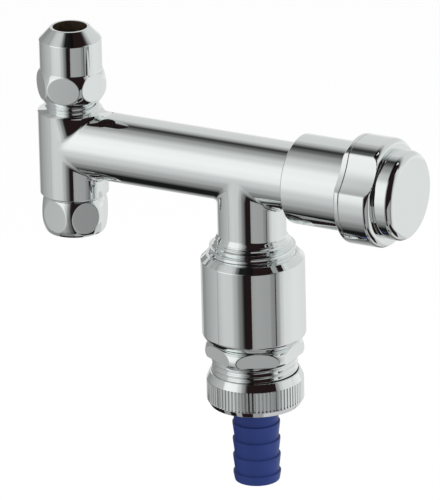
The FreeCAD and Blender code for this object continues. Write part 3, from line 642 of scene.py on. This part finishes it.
def section(corners, longest):
    """Points and outward normals along a section of radius, height and, where it is given, the corner's round."""
    spots, normals = [], []
    reaches_axis = corners[0][0] == 0
    for index, (radius, height, *given) in enumerate(corners):
        here = np.array((radius, height))
        before = here - np.array(corners[index - 1][:2])
        after = np.array(corners[(index + 1) % len(corners)][:2]) - here
        if reaches_axis and index == 0:
            before = after
        if reaches_axis and index == len(corners) - 1:
            after = before
        sides = np.linalg.norm(before), np.linalg.norm(after)
        before, after = before / sides[0], after / sides[1]
        turn = math.atan2(before[0] * after[1] - before[1] * after[0], before @ after)
        bend = (given[0] if given else edge_round) * math.copysign(1.0, turn)
        cut = min(bend * math.tan(turn / 2), *(side / 2 for side in sides))
        bend = cut / math.tan(turn / 2) if cut else 0.0
        centre = here - cut * before + bend * np.array((-before[1], before[0]))
        steps = math.ceil(abs(turn) / arc_step)
        for step in range(steps + 1):
            angle = turn * step / max(steps, 1)
            way = np.array((before[0] * math.cos(angle) - before[1] * math.sin(angle),
                            before[0] * math.sin(angle) + before[1] * math.cos(angle)))
            spots.append(centre - bend * np.array((-way[1], way[0])))
            normals.append(np.array((way[1], -way[0])))
    return divide(spots, normals, longest, reaches_axis)


print("edges get a round of", edge_round, "mm")

# %% [markdown]
# ## More points on long runs
# A hexagon flat or a scoop crosses the straight runs of a section, and there it needs points to bend.
# The Subdivide operator would also cut the small arcs, so only runs longer than wanted are divided here.

# %% Dividing the runs
same_facing = 0.999


def divide(spots, normals, longest, open_ended):
    """Add points on the straight runs, so that none is longer than wanted."""
    all_spots, all_normals = [], []
    count = len(spots)
    for index in range(count):
        all_spots.append(spots[index])
        all_normals.append(normals[index])
        if open_ended and index == count - 1:
            break
        run = spots[(index + 1) % count] - spots[index]
        pieces = math.ceil(np.linalg.norm(run) / longest)
        for piece in range(1, pieces):
            all_spots.append(spots[index] + run * piece / pieces)
            alike = normals[index] @ normals[(index + 1) % count] > same_facing
            all_normals.append(normals[index] if alike else normals[(index + 1) % count])
    return np.array(all_spots), np.array(all_normals)


print("runs are divided evenly")

# %% [markdown]
# ## From points to an object
# Each piece becomes a mesh with one exact normal a point, takes its finish and rides on its body.
# Blender could work the normals out from the faces, but then a mirror shows every facet.

# %% A finished piece


def finished(name, points, faces, facing, slot, body, marks):
    """Object from points in mm with one normal each; marked faces take the unplated brass, darkened as painted shade.
    """
    mesh = bpy.data.meshes.new(name)
    mesh.from_pydata((points * MM).tolist(), [], faces)
    mesh.materials.append(finishes[slot])
    if any(marks):
        mesh.materials.append(finishes["bare_brass"])
        mesh.polygons.foreach_set("material_index", marks)
    mesh.shade_smooth()
    mesh.normals_split_custom_set_from_vertices(facing.tolist())
    made = bpy.data.objects.new(name, mesh)
    scene.collection.objects.link(made)
    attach(made, body)
    print(name, "has", len(faces), "faces")
    return made


def ring_faces(rows, columns, closed):
    """Quads between each ring of points and the next, and from the last to the first if the section is closed."""
    faces = []
    for row in range(rows if closed else rows - 1):
        above = (row + 1) % rows
        for column in range(columns):
            beside = (column + 1) % columns
            faces.append((row * columns + column, row * columns + beside, above * columns + beside,
                          above * columns + column))
    return faces


print("pieces get their normals point by point")

# %% [markdown]
# ## From a section to a mesh
# The section is repeated at even angles, and a shape function may push each point in or out:
# that makes hexagon flats, finger scoops, flutes and threads on the same grid.
# A Screw modifier could turn the section, but it can't push points, and cutting with Boolean leaves ragged edges.
# The normal follows from how fast the radius changes along the section and round the axis.

# %% Sweeping a section round
nudge = 1e-4
hair = 1e-9


def round_shape(around, radius, height):
    return radius + 0 * around


def facing_of(shape, around, spots, normals):
    """Outward, sideways and axial part of the normals of a shaped sweep."""
    radius, height = spots[:, :1], spots[:, 1:]
    rise, out = normals[:, :1], -normals[:, 1:]
    size = shape(around, radius, height)
    along = (shape(around, radius + nudge * out, height + nudge * rise)
             - shape(around, radius - nudge * out, height - nudge * rise)) / (2 * nudge)
    across = (shape(around + nudge, radius, height) - shape(around - nudge, radius, height)) / (2 * nudge)
    outward, sideways, axial = size * rise, -across * rise, -size * along
    return outward, sideways, np.where(np.abs(outward) + np.abs(axial) < hair, -out, axial)


def swept(name, corners, body, x=None, columns=180, shape=round_shape, slot="chrome", bare=None, longest=2.0):
    """Turned piece in mm, upright at x or else along the barrel; a mask may say which rows stay unplated inside, where
    the brass is darkened as painted shade.
    """
    spots, normals = section(corners, longest)
    poles = corners[0][0] == 0
    if poles:
        ends = spots[[0, -1]]
        spots, normals = spots[1:-1], normals[1:-1]
    around = np.linspace(0, 2 * np.pi, columns, endpoint=False)[None, :]
    size = shape(around, spots[:, :1], spots[:, 1:])
    outward, sideways, axial = facing_of(shape, around, spots, normals)
    cosine, sine = np.cos(around), np.sin(around)
    heights = np.broadcast_to(spots[:, 1:], size.shape)
    points = np.stack([size * cosine, size * sine, heights], axis=-1).reshape(-1, 3)
    facing = np.stack([outward * cosine - sideways * sine, outward * sine + sideways * cosine, axial],
                      axis=-1).reshape(-1, 3)
    rows = len(spots)
    faces = ring_faces(rows, columns, not poles)
    marks = []
    for row in range(len(faces) // columns):
        both = bare is not None and bare(*spots[row]) and bare(*spots[(row + 1) % rows])
        marks += [int(both)] * columns
    if poles:
        first, last = len(points), len(points) + 1
        points = np.vstack([points, [(0, 0, ends[0][1]), (0, 0, ends[1][1])]])
        facing = np.vstack([facing, [(0, 0, -1), (0, 0, 1)]])
        for column in range(columns):
            beside = (column + 1) % columns
            faces.append((first, beside, column))
            faces.append((last, (rows - 1) * columns + column, (rows - 1) * columns + beside))
            marks += [0, 0]
    if x is None:
        points = points[:, [2, 0, 1]] + np.array((0, 0, barrel_z / MM))
        facing = facing[:, [2, 0, 1]]
    else:
        points = points + np.array((x, 0, 0))
    facing = facing / np.linalg.norm(facing, axis=1, keepdims=True)
    return finished(name, points, faces, facing, slot, body, marks)


print("shape functions work in mm")

# %% [markdown]
# ## Nuts with domed corners
# Both union nuts are hexagons whose corners were turned to one bulging arc, so that each flat has a round outline.
# The arc is swept, and the hexagon limits the radius: where the two cross, a soft minimum rounds the edge.
# Cutting a turned dome with six planes would do it too, but then the edges need a bevel of their own.

# %% Bulging arcs and hexagons
as_round_as_fits = 99.0


def arc_through(first, middle, last, count=36):
    """Corners along the circle through three points of a section."""
    (ax, ay), (bx, by), (cx, cy) = first, middle, last
    twice = 2 * (ax * (by - cy) + bx * (cy - ay) + cx * (ay - by))
    squares = ax * ax + ay * ay, bx * bx + by * by, cx * cx + cy * cy
    mx = (squares[0] * (by - cy) + squares[1] * (cy - ay) + squares[2] * (ay - by)) / twice
    my = (squares[0] * (cx - bx) + squares[1] * (ax - cx) + squares[2] * (bx - ax)) / twice
    size = math.hypot(ax - mx, ay - my)
    start, end = math.atan2(ay - my, ax - mx), math.atan2(cy - my, cx - mx)
    angles = [part_way(start, end, index / count) for index in range(1, count)]
    inner = [(mx + size * math.cos(angle), my + size * math.sin(angle), as_round_as_fits) for angle in angles]
    return [first, *inner, last]


def soft_least(first, second, width):
    """The smaller of two radii, with the crossing rounded over a width."""
    share = np.clip(0.5 + 0.5 * (second - first) / width, 0, 1)
    return second + (first - second) * share - width * share * (1 - share)


def hexed(flats, turn, width):
    """Shape that a hexagon limits; one flat faces that many degrees from the front towards the right."""
    half, facing = flats / 2, math.radians(turn - 90.0)

    def shape(around, radius, height):
        off = (around - facing + np.pi / 6) % (np.pi / 3) - np.pi / 6
        return soft_least(radius, half / np.cos(off), width)

    return shape


print("a hexagon limits the radius of a sweep")

# %% [markdown]
# ## The compression nut
# The upper nut squeezes a ring onto the tap's tube. Above its hexagon it has a plain shank and a coned nose.
# One closed section gives outside and bore together, so the mesh stays a closed solid.
# The bore is unplated brass, because plating hardly reaches into it, and its colour is darkened further as painted
# shade.

# %% Compression nut
hex_round = 0.10
comp_dome = arc_through((8.60, 41.3), (10.95, 46.3), (9.65, 51.3))
comp_corners = [(8.43, 41.3), *comp_dome, (9.58, 51.6), (9.58, 61.05, 0.5), (6.10, 64.77, 0.3), (5.26, 64.77),
                (5.26, 53.99), (6.60, 52.65), (6.60, 50.0), (8.43, 50.0)]


# Rows in the nut's bore, whose brass is darkened as painted shade.
def in_comp_bore(radius, height):
    return radius < 5.32 or height < 53.0 and radius < 8.45


comp_nut = swept("compression_nut_turned", comp_corners, "compression_nut", 0.0, 360, hexed(19.4, 15.0, hex_round),
                 bare=in_comp_bore, longest=1.0)
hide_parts("compression_nut")

# %% [markdown]
# ## The inlet union nut
# The lower nut hangs on the column's foot and screws onto the angle valve, so its bore carries a thread.
# The thread is cut by the same shape function as the hexagon: it only looks at which radius a point has.

# %% Inlet union nut
inlet_bore_radius = 7.475
inlet_bore_top = 5.1
small_pipe_pitch = 1.337
inlet_thread_depth = 0.4
inlet_dome = arc_through((9.25, -0.2), (10.45, 5.0), (9.45, 10.6))
inlet_bore = [(inlet_bore_radius, height) for height in np.linspace(inlet_bore_top, 0.1, 39)]
inlet_corners = [(8.375, -0.9), (8.75, -0.9, 0.7), *inlet_dome, (6.10, 10.6), (6.10, 8.8), (7.90, 8.8), (7.90, 5.2),
                 (inlet_bore_radius, 5.2), *inlet_bore, (inlet_bore_radius, 0.0)]
inlet_hexed = hexed(19.0, 49.5, hex_round)


def inlet_shape(around, radius, height):
    """Hexagon outside, and a thread cut into the bore below the relief."""
    in_bore = (np.abs(radius - inlet_bore_radius) < 0.02) & (height < inlet_bore_top)
    ends = np.clip(height / 0.5, 0, 1) * np.clip((inlet_bore_top - height) / 0.5, 0, 1)
    groove = inlet_thread_depth * ends * thread_wave(height / small_pipe_pitch - around / (2 * np.pi))
    return inlet_hexed(around, radius, height) + np.where(in_bore, groove, 0)


# Rows in the nut's bore, whose brass is darkened as painted shade.
def in_inlet_bore(radius, height):
    return radius < 8.3 and height < 10.5


inlet_nut = swept("inlet_union_nut_turned", inlet_corners, "inlet_nut", 0.0, 360, inlet_shape,
                  bare=in_inlet_bore, longest=1.0)
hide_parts("inlet_union_nut")

# %% [markdown]
# ## The handle
# A sleeve, a grip ring and a cap make the handle. The grip ring is hollowed by two large round finger scoops,
# and a thin seam parts it from the sleeve. The scoops limit the radius as the hexagon does on the nuts.
# Two cylinders could be cut out with Boolean, but the soft minimum rounds the scoops' edges in the same go.

# %% Skirt with the scoops' start
grip_radius = 16.76
scoop_radius = 24.4
scoop_axis = 39.06
scoop_turn = math.radians(35.3)
scoop_round = 0.3
seam_start = 100.3


def scoop_limit(around):
    """Radius that the two finger scoops leave."""
    off = (around + scoop_turn + np.pi / 2) % np.pi - np.pi / 2
    depth = scoop_radius ** 2 - (scoop_axis * np.sin(off)) ** 2
    floor_radius = scoop_axis * np.cos(off) - np.sqrt(np.maximum(depth, 0))
    return np.where(depth > 0, floor_radius, scoop_axis)


def scooped(around, radius, height):
    seam = np.where(height > seam_start, np.clip(grip_radius - radius, 0, 0.3), 0)
    return soft_least(radius, scoop_limit(around) - seam, scoop_round)


skirt_corners = [(10.75, 79.15), (13.43, 79.15), (13.78, 79.5, 0.3), (13.78, 98.7, 0.3), (16.76, 98.7, 1.4),
                 (16.76, 100.45, 0.1), (16.46, 100.45, 0.03), (16.46, 100.7, 0.03), (7.05, 100.7),
                 (7.05, 98.7), (12.58, 98.7), (12.58, 80.65), (10.75, 80.65)]
skirt = swept("handle_skirt_turned", skirt_corners, "handle", columns=300, shape=scooped, longest=3.0)
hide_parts("handle_skirt")

# %% [markdown]
# ## Grip and cap
# The grip ring goes on in the same scoops up to its large round nose, and the cap closes it with a softly rounded disc.
# The scoops stop at the nose's inner edge, so that the ring keeps its round opening for the cap.

# %% Grip and cap
nose_edge = 14.0
grip_corners = [(7.05, 100.7), (16.76, 100.7, 0.1), (16.76, 110.6, 2.2), (13.0, 110.6), (13.0, 103.7), (7.05, 103.7)]


def grip_scooped(around, radius, height):
    return soft_least(radius, np.where(radius > nose_edge, scoop_limit(around), scoop_axis), scoop_round)


grip = swept("handle_grip_turned", grip_corners, "handle", columns=360, shape=grip_scooped, longest=1.0)
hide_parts("handle_grip")

cap_corners = [(0, 115.0), (11.1, 115.0), (11.1, 105.6), (12.9, 105.6), (12.9, 110.65), (13.77, 110.65),
               (13.77, 116.8, 2.3), (0, 116.8)]
cap = swept("handle_cap_turned", cap_corners, "handle", columns=240, longest=3.0)
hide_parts("handle_cap")

# %% [markdown]
# ## Housing
# Below the neck hangs the turned housing of the check valve: a plain sleeve with a cone above and a round below.
# It is the largest mirror of the valve, so nothing but its section makes its shape.

# %% Housing
neck_x = neck_axis / MM
housing_corners = [(12.2, -26.4), (14.3, -26.4, 0.4), (15.93, -24.7, 1.7), (15.93, -0.44, 0.5), (14.2, 1.3, 0.2),
                   (13.27, 1.3), (13.27, -8.7), (12.2, -8.7)]
housing = swept("vent_housing_turned", housing_corners, "valve_body", neck_x, 240)
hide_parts("vent_housing")

# %% [markdown]
# ## Outlet nipple
# A hexagon with domed corners sits under the housing. Its spigot inside has slots that let air into the pipe vent.
# The slots are pushed in by the shape function, with walls a tenth of a millimetre wide.

# %% Nipple
nipple_dome = arc_through((15.05, -31.0), (15.2, -29.9), (13.3, -26.9))
nipple_corners = [(7.0, -41.2), (12.06, -41.2), (12.06, -31.5), (14.8, -31.5, 0.15), *nipple_dome, (12.1, -26.9),
                  (12.1, -26.7), (12.1, -16.4), (7.0, -16.4)]
nipple_hexed = hexed(27.4, 32.0, hex_round)
slot_count = 6
slot_half = 1.0
slot_depth = 1.2
slot_wall = 0.1


def nipple_shape(around, radius, height):
    """Hexagon, and the vent slots along the spigot inside the housing."""
    off = (around + np.pi / slot_count) % (2 * np.pi / slot_count) - np.pi / slot_count
    in_slot = np.clip((slot_half - np.abs(radius * np.sin(off))) / slot_wall + 0.5, 0, 1)
    on_spigot = np.clip((height + 26.8) / slot_wall, 0, 1) * (radius > 11.0)
    return nipple_hexed(around, radius, height) - slot_depth * in_slot * on_spigot


# Rows inside the spigot take the brass that is darkened as painted shade.
nipple = swept("outlet_nipple_turned", nipple_corners, "valve_body", neck_x, 360, nipple_shape,
               bare=lambda radius, height: radius < 7.1, longest=4.0)
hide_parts("outlet_nipple")

# %% [markdown]
# ## Hose nut
# The hose nut is tightened by hand, so a band of fine flutes runs round it.
# An array of small cutters could make them. Here each flute is a groove with a round floor in the radius,
# with ten columns of points to each flute.

# %% Hose nut
flute_count = 78
flute_depth = 0.42
flute_share = 0.50
flutes_low, flutes_high = -45.8, -39.2
flute_run_out = 0.25


def fluted(around, radius, height):
    """Grooves with a round floor on the outside of the hose nut."""
    off = ((around * flute_count / (2 * np.pi)) % 1.0 - 0.5) / (flute_share / 2)
    groove = np.sqrt(np.clip(1 - off ** 2, 0, 1))
    above_low, below_high = (height - flutes_low) / flute_run_out, (flutes_high - height) / flute_run_out
    ends = np.clip(above_low, 0, 1) * np.clip(below_high, 0, 1)
    return radius - flute_depth * groove * ends * (radius > 14.5)


flute_ends = [(14.92, height) for height in (-45.55, -45.3, -39.7, -39.45)]
hose_nut_corners = [(7.64, -47.6), (13.87, -47.6, 0.4), (14.92, -45.8, 0.3), *flute_ends, (14.92, -39.2, 0.15),
                    (13.90, -36.8, 0.25), (13.32, -36.8), (13.32, -45.3), (7.64, -45.3)]
# Rows inside the nut take the brass that is darkened as painted shade.
hose_nut = swept("hose_nut_turned", hose_nut_corners, "hose_nut", neck_x, flute_count * 10, fluted,
                 bare=lambda radius, height: radius < 13.35 and -47.5 < height < -36.9, longest=4.0)
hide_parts("hose_nut")

# %% [markdown]
# ## Hose tail
# The blue tail is moulded, and its barbs have one sharp edge each that holds the hose.
# A loop writes the section's corners barb by barb, and one sweep makes the tail from them.

# %% Hose tail
barb_pitch = 5.4
barb_count = 5
barb_crest, barb_root = 7.34, 6.8
tail_corners = [(4.8, -73.0), (6.9, -73.0, 0.4)]
for index in reversed(range(barb_count)):
    crest_z = -48.4 - index * barb_pitch
    if index < barb_count - 1:
        tail_corners.append((barb_root, crest_z - barb_pitch + 0.5, 0.4))
    tail_corners += [(barb_crest, crest_z - 0.5, 0.25), (barb_crest, crest_z, 0.12), (barb_root, crest_z, 0.15)]
tail_corners += [(barb_root, -45.2), (12.2, -45.2), (12.2, -43.0), (4.8, -43.0)]
tail = swept("hose_tail_turned", tail_corners, "hose_tail", neck_x, 160, slot="blue_plastic", longest=3.0)
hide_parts("hose_tail")

# %% [markdown]
# ## The cast body
# The tee is cast and then polished, so its branches flow into the barrel with no line.
# The solid has round fillets, and a mirror shows where each fillet begins.
# Remeshing would blend them, but it wanders off the sizes.
# So the body's own mesh is copied, cut finer, and laid on a smooth union of three tubes,
# whose slope gives every normal. Above the barrel the column's flank leans back a little, as it left the mould.
# The ends, edges and bores stay as they are in the solid.

# %% Smooth union of the three tubes
column_radius, barrel_radius, neck_radius = 10.6, 10.55, 10.5
axis_z = barrel_z / MM
branch_flow = 1.3
flank_lean = 0.2
lean_start, column_top = 31.0, 38.0
end_penalty = 0.15


def joined(first, second, closeness):
    """Smooth union of two distances: closeness is the dot product of their directions."""
    width = branch_flow * np.sqrt(np.maximum(1 - closeness, 1e-9))
    share = np.maximum(width - np.abs(first - second), 0) / width
    return np.minimum(first, second) - share ** 2 * width / 4


def tee(points):
    """Signed distance to the flowing outside of the tee."""
    x, y, z = points.T
    off_column, off_barrel = np.hypot(x, y), np.hypot(y, z - axis_z)
    off_neck = np.hypot(x - neck_x, y)
    above = np.clip(z - lean_start, 0, column_top - lean_start)
    leaning = np.clip(x / 7.0, 0, 1)
    column = off_column - column_radius + flank_lean * leaning * above ** 2 / (above + 1.5)
    barrel = off_barrel - barrel_radius + end_penalty * np.minimum(x, 0) ** 2
    neck = off_neck - neck_radius + end_penalty * np.maximum(z - axis_z, 0) ** 2
    tiny = 1e-6
    with_column = joined(column, barrel, y * y / (off_column * off_barrel + tiny))
    with_neck = joined(barrel, neck, y * y / (off_neck * off_barrel + tiny))
    return np.where(x < neck_x / 2, with_column, with_neck)


def slope(points):
    """Unit direction in which the distance grows."""
    step = 1e-3
    sides = []
    for shift in np.eye(3) * step:
        sides.append((tee(points + shift) - tee(points - shift)) / (2 * step))
    way = np.stack(sides, axis=-1)
    return way / np.linalg.norm(way, axis=1, keepdims=True)


print("branches flow over about", branch_flow, "mm")

# %% [markdown]
# ## The body's outer skin
# Only faces of the polished outer skin take part: they lie near the smooth union and face the same way.
# The ends, the flat top of the column and the bores are told apart by where they lie and where they face.

# %% Which faces are skin
shoulder_cut_z = 9.0
column_skin_low = 11.72
column_reach = 13.0


def on_skin(centres, facing):
    """Which faces belong to the polished outer skin of the three tubes."""
    near = np.abs(tee(centres)) < 2.2
    same_way = np.sum(facing * slope(centres), axis=1) > 0.5
    at_column = np.hypot(centres[:, 0], centres[:, 1]) < column_reach
    low = np.where(at_column, column_skin_low, shoulder_cut_z)
    spot_face = at_column & (facing[:, 2] > 0.98) & (centres[:, 2] > column_top - 0.01)
    tubes = near & same_way & (centres[:, 2] > low) & (centres[:, 2] < column_top + 0.5)
    return tubes & ~spot_face & (facing[:, 0] < 0.95)


def face_table(mesh):
    centres = np.array([face.calc_center_median() for face in mesh.faces]) / MM
    return centres, np.array([face.normal for face in mesh.faces])


print("skin starts at z", column_skin_low, "mm on the column and", shoulder_cut_z, "mm on the neck")

# %% [markdown]
# ## A copy without its shoulder
# The body's mesh is copied into bmesh, so the solid itself stays as it is.
# The shoulder under the neck is taken out, because a later step turns it together with its thread.

# %% Copy of the body


def with_rims(faces):
    """The faces with their edges and points, each once and in a fixed order."""
    parts = dict.fromkeys(faces)
    for face in faces:
        parts.update(dict.fromkeys([*face.edges, *face.verts]))
    return list(parts)


cast = bmesh.new()
cast.from_mesh(nodes["valve_body"].data)
bmesh.ops.remove_doubles(cast, verts=cast.verts, dist=0.0005 * MM)
near_neck = [face for face in cast.faces if face.calc_center_median().z < 20 * MM
             and face.calc_center_median().x > 40 * MM]
bmesh.ops.bisect_plane(cast, geom=with_rims(near_neck), plane_co=(0, 0, shoulder_cut_z * MM), plane_no=(0, 0, 1))
shoulder = []
for face in cast.faces:
    middle = face.calc_center_median() / MM
    outward = Vector((middle.x - neck_x, middle.y, 0))
    if middle.z < shoulder_cut_z and middle.x > 40 and outward.length > 10.3 and face.normal.dot(outward) > 0:
        shoulder.append(face)
print("shoulder of", len(shoulder), "faces taken out")
bmesh.ops.delete(cast, geom=shoulder, context="FACES")

# %% [markdown]
# ## Cutting the skin finer
# The solid's long thin faces can't bend, so near the branches they are sliced into narrow strips, first across
# the barrel and then across the upright tubes. Subdividing would cut every face alike, and slicing leaves the rest.

# %% Slices
strip = 0.6


def slices(chosen, axis, places):
    """Cut the chosen faces by planes across an axis."""
    parts = with_rims(chosen)
    normal = Vector((axis == 0, axis == 1, axis == 2))
    for place in places:
        parts = bmesh.ops.bisect_plane(cast, geom=parts, plane_co=normal * place * MM, plane_no=normal)["geom"]


def skin_between(low, high):
    """Skin faces that reach into a stretch along the barrel, in mm."""
    cast.normal_update()
    found = []
    for face, chosen in zip(cast.faces, on_skin(*face_table(cast))):
        reach = [vertex.co.x / MM for vertex in face.verts]
        if chosen and max(reach) > low and min(reach) < high:
            found.append(face)
    return found


slices(skin_between(-11, 18), 0, np.arange(-10.3, 17, strip))
slices(skin_between(46, 78), 0, np.arange(47, 77, strip))
slices(skin_between(-11, 15), 2, np.arange(16, 37.8, strip))
slices(skin_between(49, 75), 2, np.arange(9.5, 21, strip))
bmesh.ops.triangulate(cast, faces=cast.faces)
print("sliced into", len(cast.faces), "faces")

# %% [markdown]
# ## Sliding onto the smooth surface
# Each skin point moves along the slope by its distance, a few times over, until it lies on the smooth union.
# A Shrinkwrap modifier does the same with a target mesh, but here the target is a formula and has no facets.
# Points on the rim of the column's flat top slide in its plane only, so that the rim stays level.

# %% Sliding
rim_reach = 13.5
level_gap = 0.01
least_steepness = 0.02
longest_slide = 0.6
cast.normal_update()
cast.faces.ensure_lookup_table()
skin = on_skin(*face_table(cast))
cast_mesh = bpy.data.meshes.new("cast_body")
cast.to_mesh(cast_mesh)
cast.free()
spots = np.array([vertex.co for vertex in cast_mesh.vertices]) / MM
corner_of = np.array([polygon.vertices for polygon in cast_mesh.polygons])
free = np.ones(len(spots), bool)
free[corner_of[~skin].ravel()] = False
used = np.zeros(len(spots), bool)
used[corner_of[skin].ravel()] = True
moving = free & used
near_top = np.abs(spots[:, 2] - column_top) < level_gap
on_top = used & ~free & near_top & (np.hypot(spots[:, 0], spots[:, 1]) < rim_reach)
for slide in range(8):
    spots[moving] -= tee(spots[moving])[:, None] * slope(spots[moving])
    level = slope(spots[on_top]) * np.array((1, 1, 0))
    steepness = np.sum(level * level, axis=1, keepdims=True)
    step = tee(spots[on_top])[:, None] * level / np.maximum(steepness, least_steepness)
    spots[on_top] -= np.clip(step, -longest_slide, longest_slide)
rim = np.hypot(spots[on_top, 0], spots[on_top, 1])
print("rim of the flat top: radii from", rim.min().round(2), "to", rim.max().round(2), "mm")
cast_mesh.vertices.foreach_set("co", (spots * MM).ravel())
cast_mesh.update()

# %% [markdown]
# ## Normals and finish of the body
# On the skin the normals come from the slope of the union, and elsewhere from the faces, with edges kept sharp.
# Faces that look towards an axis from close by are bores, and they take the unplated brass, darkened as painted shade.

# %% Body
sharp_edge = math.radians(30.0)
cast_mesh.set_sharp_from_angle(angle=sharp_edge)
cast_mesh.update()
corner_normals = np.array([corner.vector for corner in cast_mesh.corner_normals]).reshape(-1, 3, 3)
smooth = slope(spots)
corner_normals[skin] = smooth[corner_of[skin]]
cast_mesh.normals_split_custom_set(corner_normals.reshape(-1, 3).tolist())

middles = spots[corner_of].mean(axis=1)
facing = corner_normals.mean(axis=1)
to_column = np.stack([middles[:, 0], middles[:, 1], 0 * middles[:, 0]], axis=-1)
to_barrel = np.stack([0 * middles[:, 0], middles[:, 1], middles[:, 2] - axis_z], axis=-1)
to_neck = to_column - np.array((neck_x, 0, 0))
inside = np.zeros(len(middles), bool)
for reach, widest in ((to_column, 6.7), (to_barrel, 10.0), (to_neck, 11.0)):
    inside |= (np.linalg.norm(reach, axis=1) < widest) & (np.sum(reach * facing, axis=1) < 0) & ~skin
cast_mesh.materials.clear()
cast_mesh.materials.append(finishes["chrome"])
cast_mesh.materials.append(finishes["bare_brass"])
cast_mesh.polygons.foreach_set("material_index", inside.astype(int))
body = bpy.data.objects.new("cast_body", cast_mesh)
scene.collection.objects.link(body)
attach(body, "valve_body")
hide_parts("valve_body")
print("cast body has", len(middles), "faces, of them", int(skin.sum()), "on the skin")

# %% [markdown]
# ## Pipe threads
# Three threads show, or come to light when a nut is undone: the compression stub, the neck's foot and the nipple.
# A thread is a ridge that climbs by one pitch a turn, so its radius depends on height and angle alone
# and the swept grid can carry it. A Screw modifier could wind a profile, but its ends would stop dead.

# %% Threads on the stub and the nipple
undivided = 99.0
pipe_pitch = 1.814


def ridges(low, high, root, crest, pitch):
    """Thread radius by angle and height, with run-outs at both ends."""

    def radius_at(around, height):
        ends = np.clip((height - low) / (0.5 * pitch), 0, 1) * np.clip((high - height) / (0.5 * pitch), 0, 1)
        return root + (crest - root) * ends * thread_wave(height / pitch - around / (2 * np.pi))

    return radius_at


def threaded(name, x, low, high, root, crest, pitch):
    """Sleeve with a thread, closed by a plain bore just under the root."""
    at = ridges(low, high, root, crest, pitch)

    def shape(around, radius, height):
        return radius + np.where(radius > root - 0.01, at(around, height) - root, 0)

    rows = [(root, height) for height in np.arange(low + 0.05, high - 0.05, pitch / 14)]
    corners = [(root - 0.3, low), (root, low, 0.02), *rows, (root, high, 0.02), (root - 0.3, high)]
    return swept(name, corners, "valve_body", x, 180, shape, longest=undivided)


threaded("stub_thread", 0.0, 38.05, 48.6, 7.55, 8.33, small_pipe_pitch)
threaded("nipple_thread", neck_x, -41.0, -31.6, 12.6, 13.2, pipe_pitch)

# %% [markdown]
# ## The neck's shoulder
# Under the neck the body flares to a wide threaded end, and shallow tool ridges run up the flare until they fade.
# The section has many rows here, so that each ridge gets a dozen points across.

# %% Neck shoulder
ridge_depth = 0.34
ridge_pitch = 1.15
ridges_top = 6.4


def shoulder_shape(around, radius, height):
    """Shallow ridges on the flare and on the wide end under it."""
    fade = np.clip((ridges_top - height) / 0.9, 0, 1) * np.clip((height + 4.4) / 0.5, 0, 1)
    wave = thread_wave(height / ridge_pitch - around / (2 * np.pi))
    return radius - ridge_depth * fade * (1 - wave) * (radius > 10.9)


shoulder_rows = [(13.2, height) for height in np.arange(-4.3, 2.4, ridge_pitch / 12)]
flare_rows = [(part_way(13.2, 10.98, share), part_way(2.7, 6.64, share)) for share in np.linspace(0.03, 0.97, 40)]
shoulder_corners = [(10.7, -5.15), (12.3, -5.15, 0.02), (13.2, -4.5, 0.1), *shoulder_rows, (13.2, 2.6, 0.5),
                    *flare_rows, (10.5, 7.5, 1.8), (10.5, 9.05, 0.01), (10.2, 9.05, 0.01), (10.2, 6.5), (10.7, 5.0)]
swept("neck_shoulder", shoulder_corners, "valve_body", neck_x, 240, shoulder_shape, longest=undivided)
